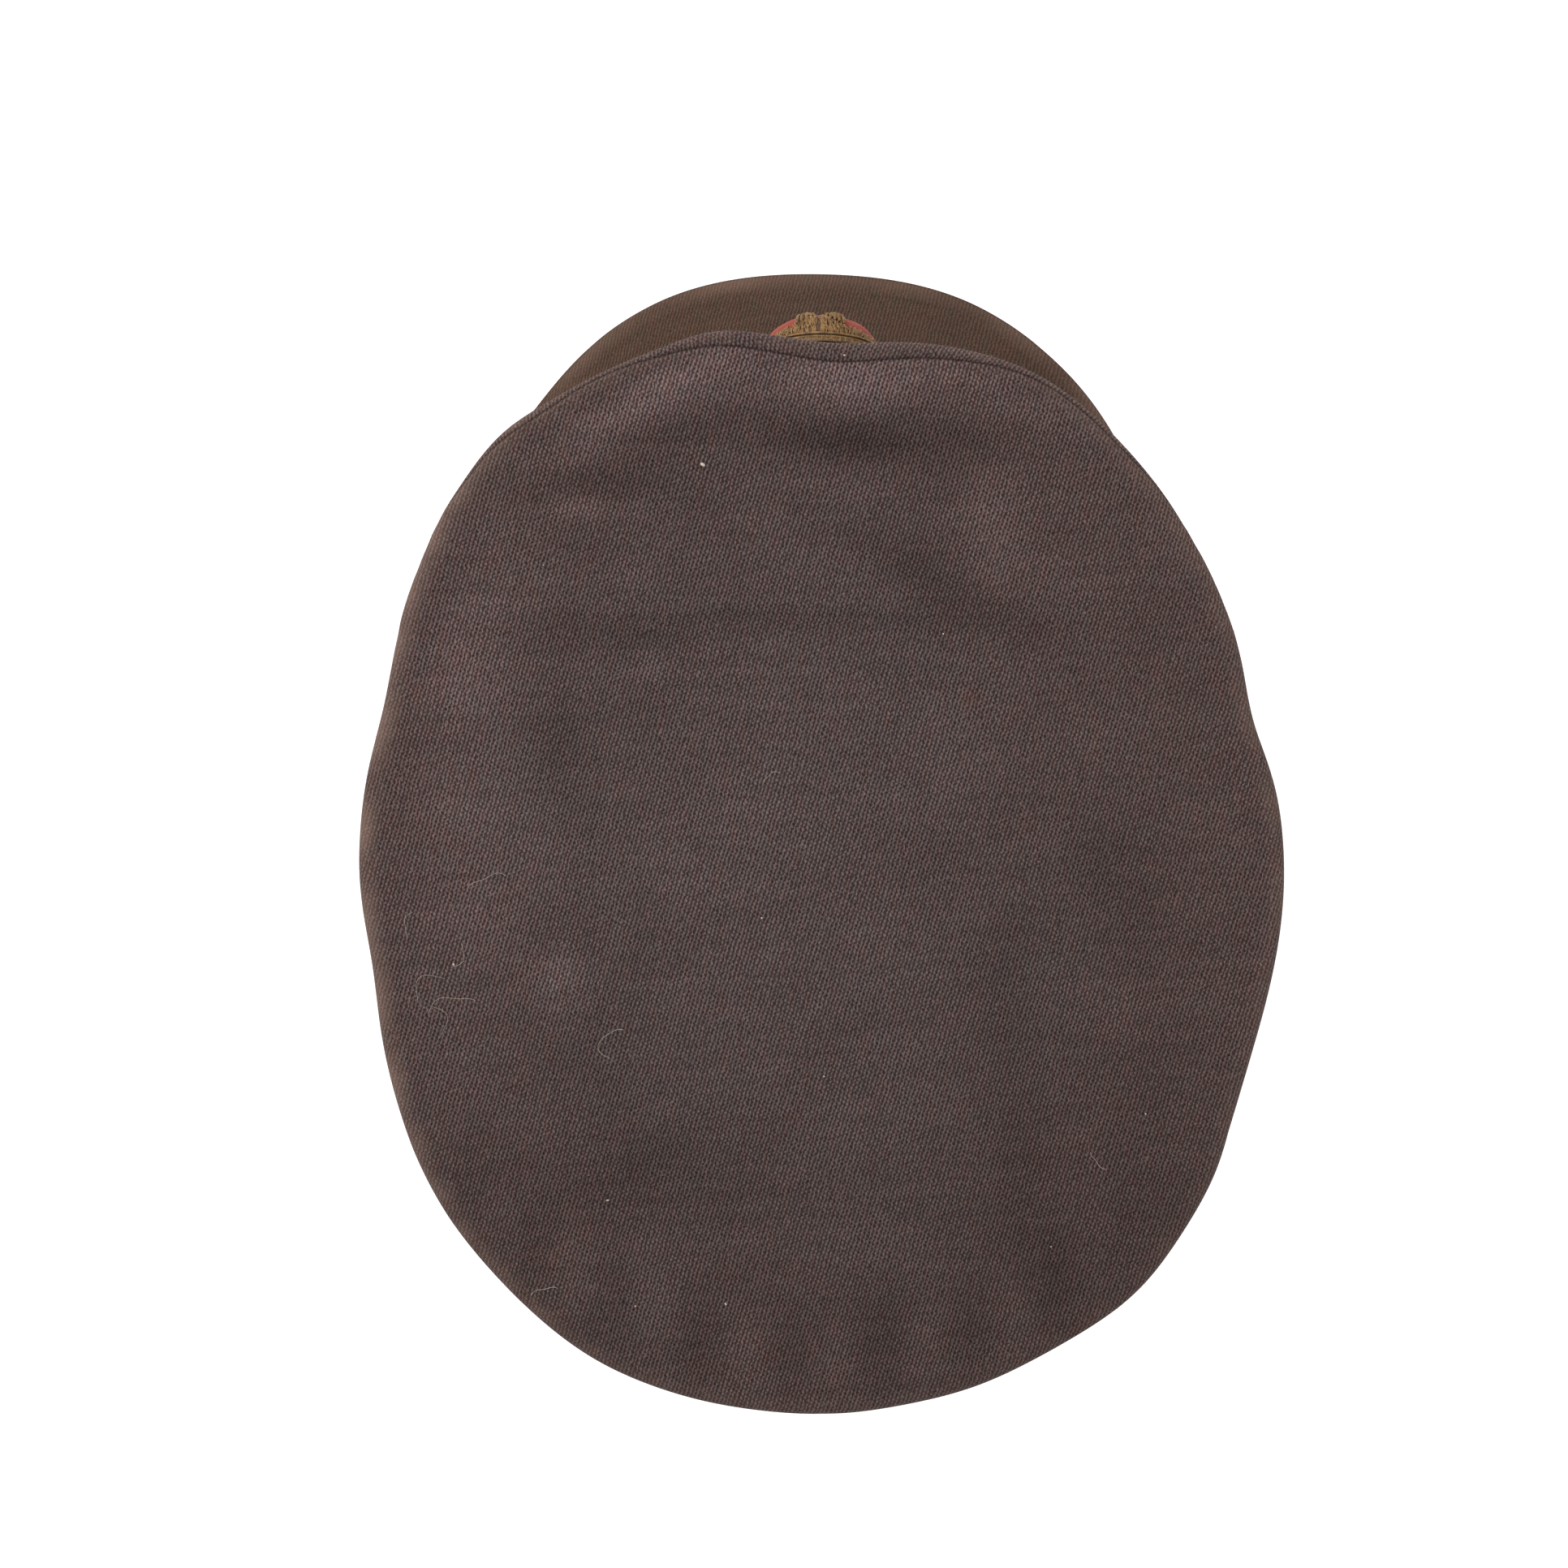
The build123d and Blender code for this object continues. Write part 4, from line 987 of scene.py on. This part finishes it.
rho = DOME_R * np.sin(0.02 + (math.pi / 2 - 0.02) * np.linspace(0, 1, 34)[:, None])
dents = 0.14 * waves(rho * np.cos(around), rho * np.sin(around), 7, 101)
dents *= step(DOME_R - rho, 0, 2)
dome = badge_sheet(
    "badge_dome_felt", round_badge(rho, around, dome_height(rho) + dents),
    on_badge(0.0, 0.0, dome_height(0.0)),
)
place(dome, "badge_red", ["badge_dome"])

patch_r, patch_h = np.array(
    [(0.5, -2.2), (15.2, -2.2), (15.7, -1.9), (16, -1.2), (16, -0.4), (15.6, 0), (0.5, 0.1)]
).T[..., None]
patch = badge_sheet("badge_patch", round_badge(patch_r, around, patch_h))
place(patch, "badge_felt", ["badge_backing"])


def coil(path, radius, pitch=0.42):
    """A close-wound wire coil along a path: a tube ribbed by its turns."""
    length = walked(path)[-1]
    count = max(6, int(length / pitch * 3))
    at = np.linspace(0, length, count)
    ends = np.minimum(1, np.minimum(np.arange(count), np.arange(count)[::-1]) / 2 + 0.4)
    ribs = 1 + 0.2 * np.sin(at / pitch * FULL)
    return tube(points_along(path, at), radius * ribs * ends, 8)


def on_pillow(angle, climb, lift):
    """A point on the pillow's side: climb is 0 at its foot and 1 at the middle of its top."""
    r = DOME_R * np.sin(math.pi / 2 * (1 - climb))
    slope = np.arctan2(1.0, 2.2 * (1 - climb) ** 2 + 0.001)
    return round_badge(r + lift * np.cos(slope), angle, dome_height(r) + lift * np.sin(slope))


# The wreath: a matted ring of wire at the pillow's foot, and short ends that climb its side
mat_t = np.linspace(0, 1, 9)[:, None]
mat_climb = 0.07 + 0.05 * np.abs(np.sin(around)) ** 3 + 0.24 * hump(np.cos(around), 0.02, 0.36)
mat_lift = 0.15 + 0.3 * np.sin(np.pi * mat_t)
mat_lift = mat_lift * (1 + 0.5 * waves(around * 16, mat_t * 5, 1.6, 111))
mat_foot = round_badge(DOME_R + 1.25, around, np.array([[-2.1], [-1.2], [-0.4]]))
mat = np.concatenate([mat_foot, on_pillow(around, mat_climb * mat_t, mat_lift)])
place(badge_sheet("badge_wreath_mat", mat), "bullion", material=bullion_mat)
wreath = []
WIRES = 330
t = np.linspace(0, 1, 12)
for i in range(WIRES):
    a = FULL * i / WIRES + rng.normal(0, 0.03)
    climb = 0.26 * hump(math.cos(a), 0.02, 0.4) * rng.uniform(0.6, 1)
    climb += 0.09 + 0.06 * abs(math.sin(a)) ** 3 + rng.uniform(-0.03, 0.04)
    spin = a + rng.normal(0, 0.07) * t + 0.015 * np.sin(t * 9 + i)
    lift = 0.3 + 0.3 * np.sin(np.pi * t) + rng.uniform(-0.05, 0.25) * t
    foot = round_badge(DOME_R + 1.1, spin[:1], [-2.0, -1.0])
    wire = np.vstack([foot, on_pillow(spin, climb * t, lift)])
    wreath.append(coil(wire, rng.uniform(0.16, 0.27)))
for drop in (-1.6, -0.7, 0.2):
    ring = round_badge(DOME_R + 1.0, around[0], drop)
    wreath.append(coil(np.vstack([ring, ring[:1]]), 0.34))
bundle("badge_wreath", wreath, "bullion", ["badge_border"])


def bar_height(x, y):
    """The pillow's height under a bar, which runs out level past the pillow's edge."""
    return dome_height(np.minimum(np.hypot(x, y), 14.2))


# Two upright bars of couched wire cross it: five cores each, and short wires laid over them
BAR_CORES, BAR_WRAPS = 5, 41
bars = []
for middle in (3.7, -3.5):
    y = np.linspace(-13.4, 13.4, 40)
    for k in range(BAR_CORES):
        x = middle + (k - 2) * 0.6 + rng.normal(0, 0.05)
        sway = 0.22 * np.sin(y / 3 + k) + 0.06 * (k - 2) * np.maximum(y - 6, 0)
        h = bar_height(x, y) + 0.3 + 0.3 * (1 - abs(k - 2) / 2)
        bars.append(coil(on_badge(x + sway, y * 1.03, h), 0.4))
    x = middle + np.linspace(-1.6, 1.6, 9)
    for k in range(BAR_WRAPS):
        y = -12.6 + k * 0.63 + rng.normal(0, 0.1)
        tilt = rng.normal(0, 0.3) * np.linspace(-1, 1, 9)
        h = bar_height(x, y) + 0.8 * np.cos(np.linspace(-1.3, 1.3, 9)) - 0.1
        bars.append(coil(on_badge(x, y * 1.03 + tilt, h), 0.18))
bundle("badge_bars_wire", bars, "bullion", ["badge_bars"])


# Strap stitching, along both edges of each strap where it shows

for label, z in (("low", 6.3), ("high", 15.7)):
    for strap, start, end, offset in (("outer", -64, 24, 5.22), ("inner", 28, 64, 3.62)):
        line = band_line(offset, z, np.linspace(start, end, 500))
        name = f"strap_{strap}_stitches_{label}"
        stitches(name, line, 1.7, 0.7, 0.2, "strap_leather", "chin_strap")


# Lint, stray hairs and the cloth's own fuzz


def on_top(x, y, above):
    """A point just above the crown's top."""
    return from_plane(x, y, TOP_W + top_relief(x, y) + above)


specks = []
t = np.linspace(-1, 1, 7)
for x, y, size, long_ in (
    (29.7, -109.7, 0.55, 2.0), (94, 20, 0.34, 1.3), (55, 83.5, 0.36, 1.4), (24.5, 111.5, 0.32, 1.2),
    (-5.8, -137.5, 0.3, 1.0), (15, 8, 0.25, 1.0), (-1, 50, 0.25, 1.0), (-60, 96, 0.2, 1.0),
    (70, -84, 0.2, 1.0), (-31, -66, 0.22, 1.0), (48, 112, 0.22, 1.1), (-84, 60, 0.2, 1.0),
):
    twist = rng.uniform(0, FULL)
    px = x + t * size * long_ * math.sin(twist) * 0.6 + 0.1 * np.sin(5 * t)
    py = y - t * size * long_ * abs(math.cos(twist)) * 0.8
    radius = size * np.sqrt(np.maximum(1 - t**2, 0.02)) * 0.75
    specks.append(tube(on_top(px, py, 0.25), radius, 7))
bundle("lint_specks", specks, "lining_cloth", material=lint)

hairs = []
t = np.linspace(0, 1, 24)
for x, y, turn, size, curl in (
    (96, 24, 40, 14, 1.4), (100, 31, 100, 12, -1.2), (88, 30, 10, 15, 0.8), (50, 38, 60, 14, 1.6),
    (68, 107, 15, 8, 0.5), (80, -3, 20, 12, 0.6), (92, 14, 70, 9, -1.0), (104, 6, 80, 8, 0.9),
    (-70, 70, 130, 7, 0.6), (10, -30, 30, 6, 0.8),
):
    bend = math.radians(turn) + curl * (t - 0.5) * 2 + 0.3 * np.sin(t * 9 + x)
    px = x + np.cumsum(np.cos(bend)) * size / 24
    py = y + np.cumsum(np.sin(bend)) * size / 24
    hairs.append(tube(on_top(px, py, 0.3 + 0.25 * np.sin(t * 7 + y)), 0.032, 5))
bundle("stray_hairs", hairs, "lining_cloth", material=lint)

FIBRES, FRONT_FIBRES = 900, 380  # of them all, the ones that stand along the front edge
fuzz = []
t = np.linspace(0, 1, 5)[:, None]
for i in range(FIBRES):
    column = rng.integers(COLUMNS)
    if i < FRONT_FIBRES:
        column = int((180 + rng.normal(0, 28)) / 360 * COLUMNS) % COLUMNS
    tip = math.pi / 2 - rng.uniform(0, math.pi / 2 + 0.4)
    normal = math.cos(tip) * OUT3[column] + math.sin(tip) * crown_up
    base = roll_centre[column] + normal * (ROLL[column] - 0.1)
    lean = normal + rng.normal(0, 0.55, 3)
    lean /= np.linalg.norm(lean)
    bend = rng.normal(0, 0.5, 3)
    size = rng.gamma(3.0, 0.16)
    fuzz.append(tube(base + lean * t * size + bend * t**2 * size, np.linspace(0.035, 0.015, 5), 3))
bundle("rim_fuzz", fuzz, "crown_cloth", material=fuzz_cloth)


# Camera, light and floor

camera = bpy.data.objects.new("camera", bpy.data.cameras.new("camera"))
bpy.context.scene.collection.objects.link(camera)
camera.data.sensor_width = 36
camera.data.lens = 125.7
camera.data.clip_end = 10
camera.location = (0.0093, OPENING[1], 1.4874)
camera.rotation_euler = (0, 0, math.pi)
bpy.context.scene.camera = camera


def area_light(name, location, size, power, color):
    """A soft square light that faces the cap."""
    light = bpy.data.lights.new(name, "AREA")
    light.shape, light.size, light.energy, light.color = "SQUARE", size, power, color
    made = bpy.data.objects.new(name, light)
    bpy.context.scene.collection.objects.link(made)
    made.location = location
    aim = Vector((0, 0, 0.05)) - Vector(location)
    made.rotation_euler = aim.to_track_quat("-Z", "Y").to_euler()


area_light("key", (0.85, -0.95, 0.95), 0.8, 17, (1.0, 0.985, 0.965))
area_light("fill", (-0.7, 0.5, 1.5), 1.6, 7, (0.96, 0.98, 1.0))

world = bpy.data.worlds.new("studio")
world.use_nodes = True
world.node_tree.nodes["Background"].inputs[0].default_value = (1, 1, 1, 1)
world.node_tree.nodes["Background"].inputs[1].default_value = 0.85
bpy.context.scene.world = world
bpy.context.scene.view_settings.view_transform = "Standard"

s = Shader("floor")
floor_tone = s.ramp(s.noise(s.place(), 3), [(0.3, (0.44,) * 3), (0.7, (0.46,) * 3)])
bpy.ops.mesh.primitive_plane_add(size=8, location=(0, 0, 0))
floor = bpy.context.object
floor.name = "floor"
floor.data.materials.append(
    s.finish(floor_tone, rough=0.9, Emission_Color=(1, 1, 1, 1), Emission_Strength=0.82)
)


# The CAD nodes that stay as they are get their materials by slot

for row in frame["record"]["subparts"]:
    thing = frame["nodes"][row["node"]]
    thing.data.materials.clear()
    thing.data.materials.append(BY_SLOT[row["material_slot"]])
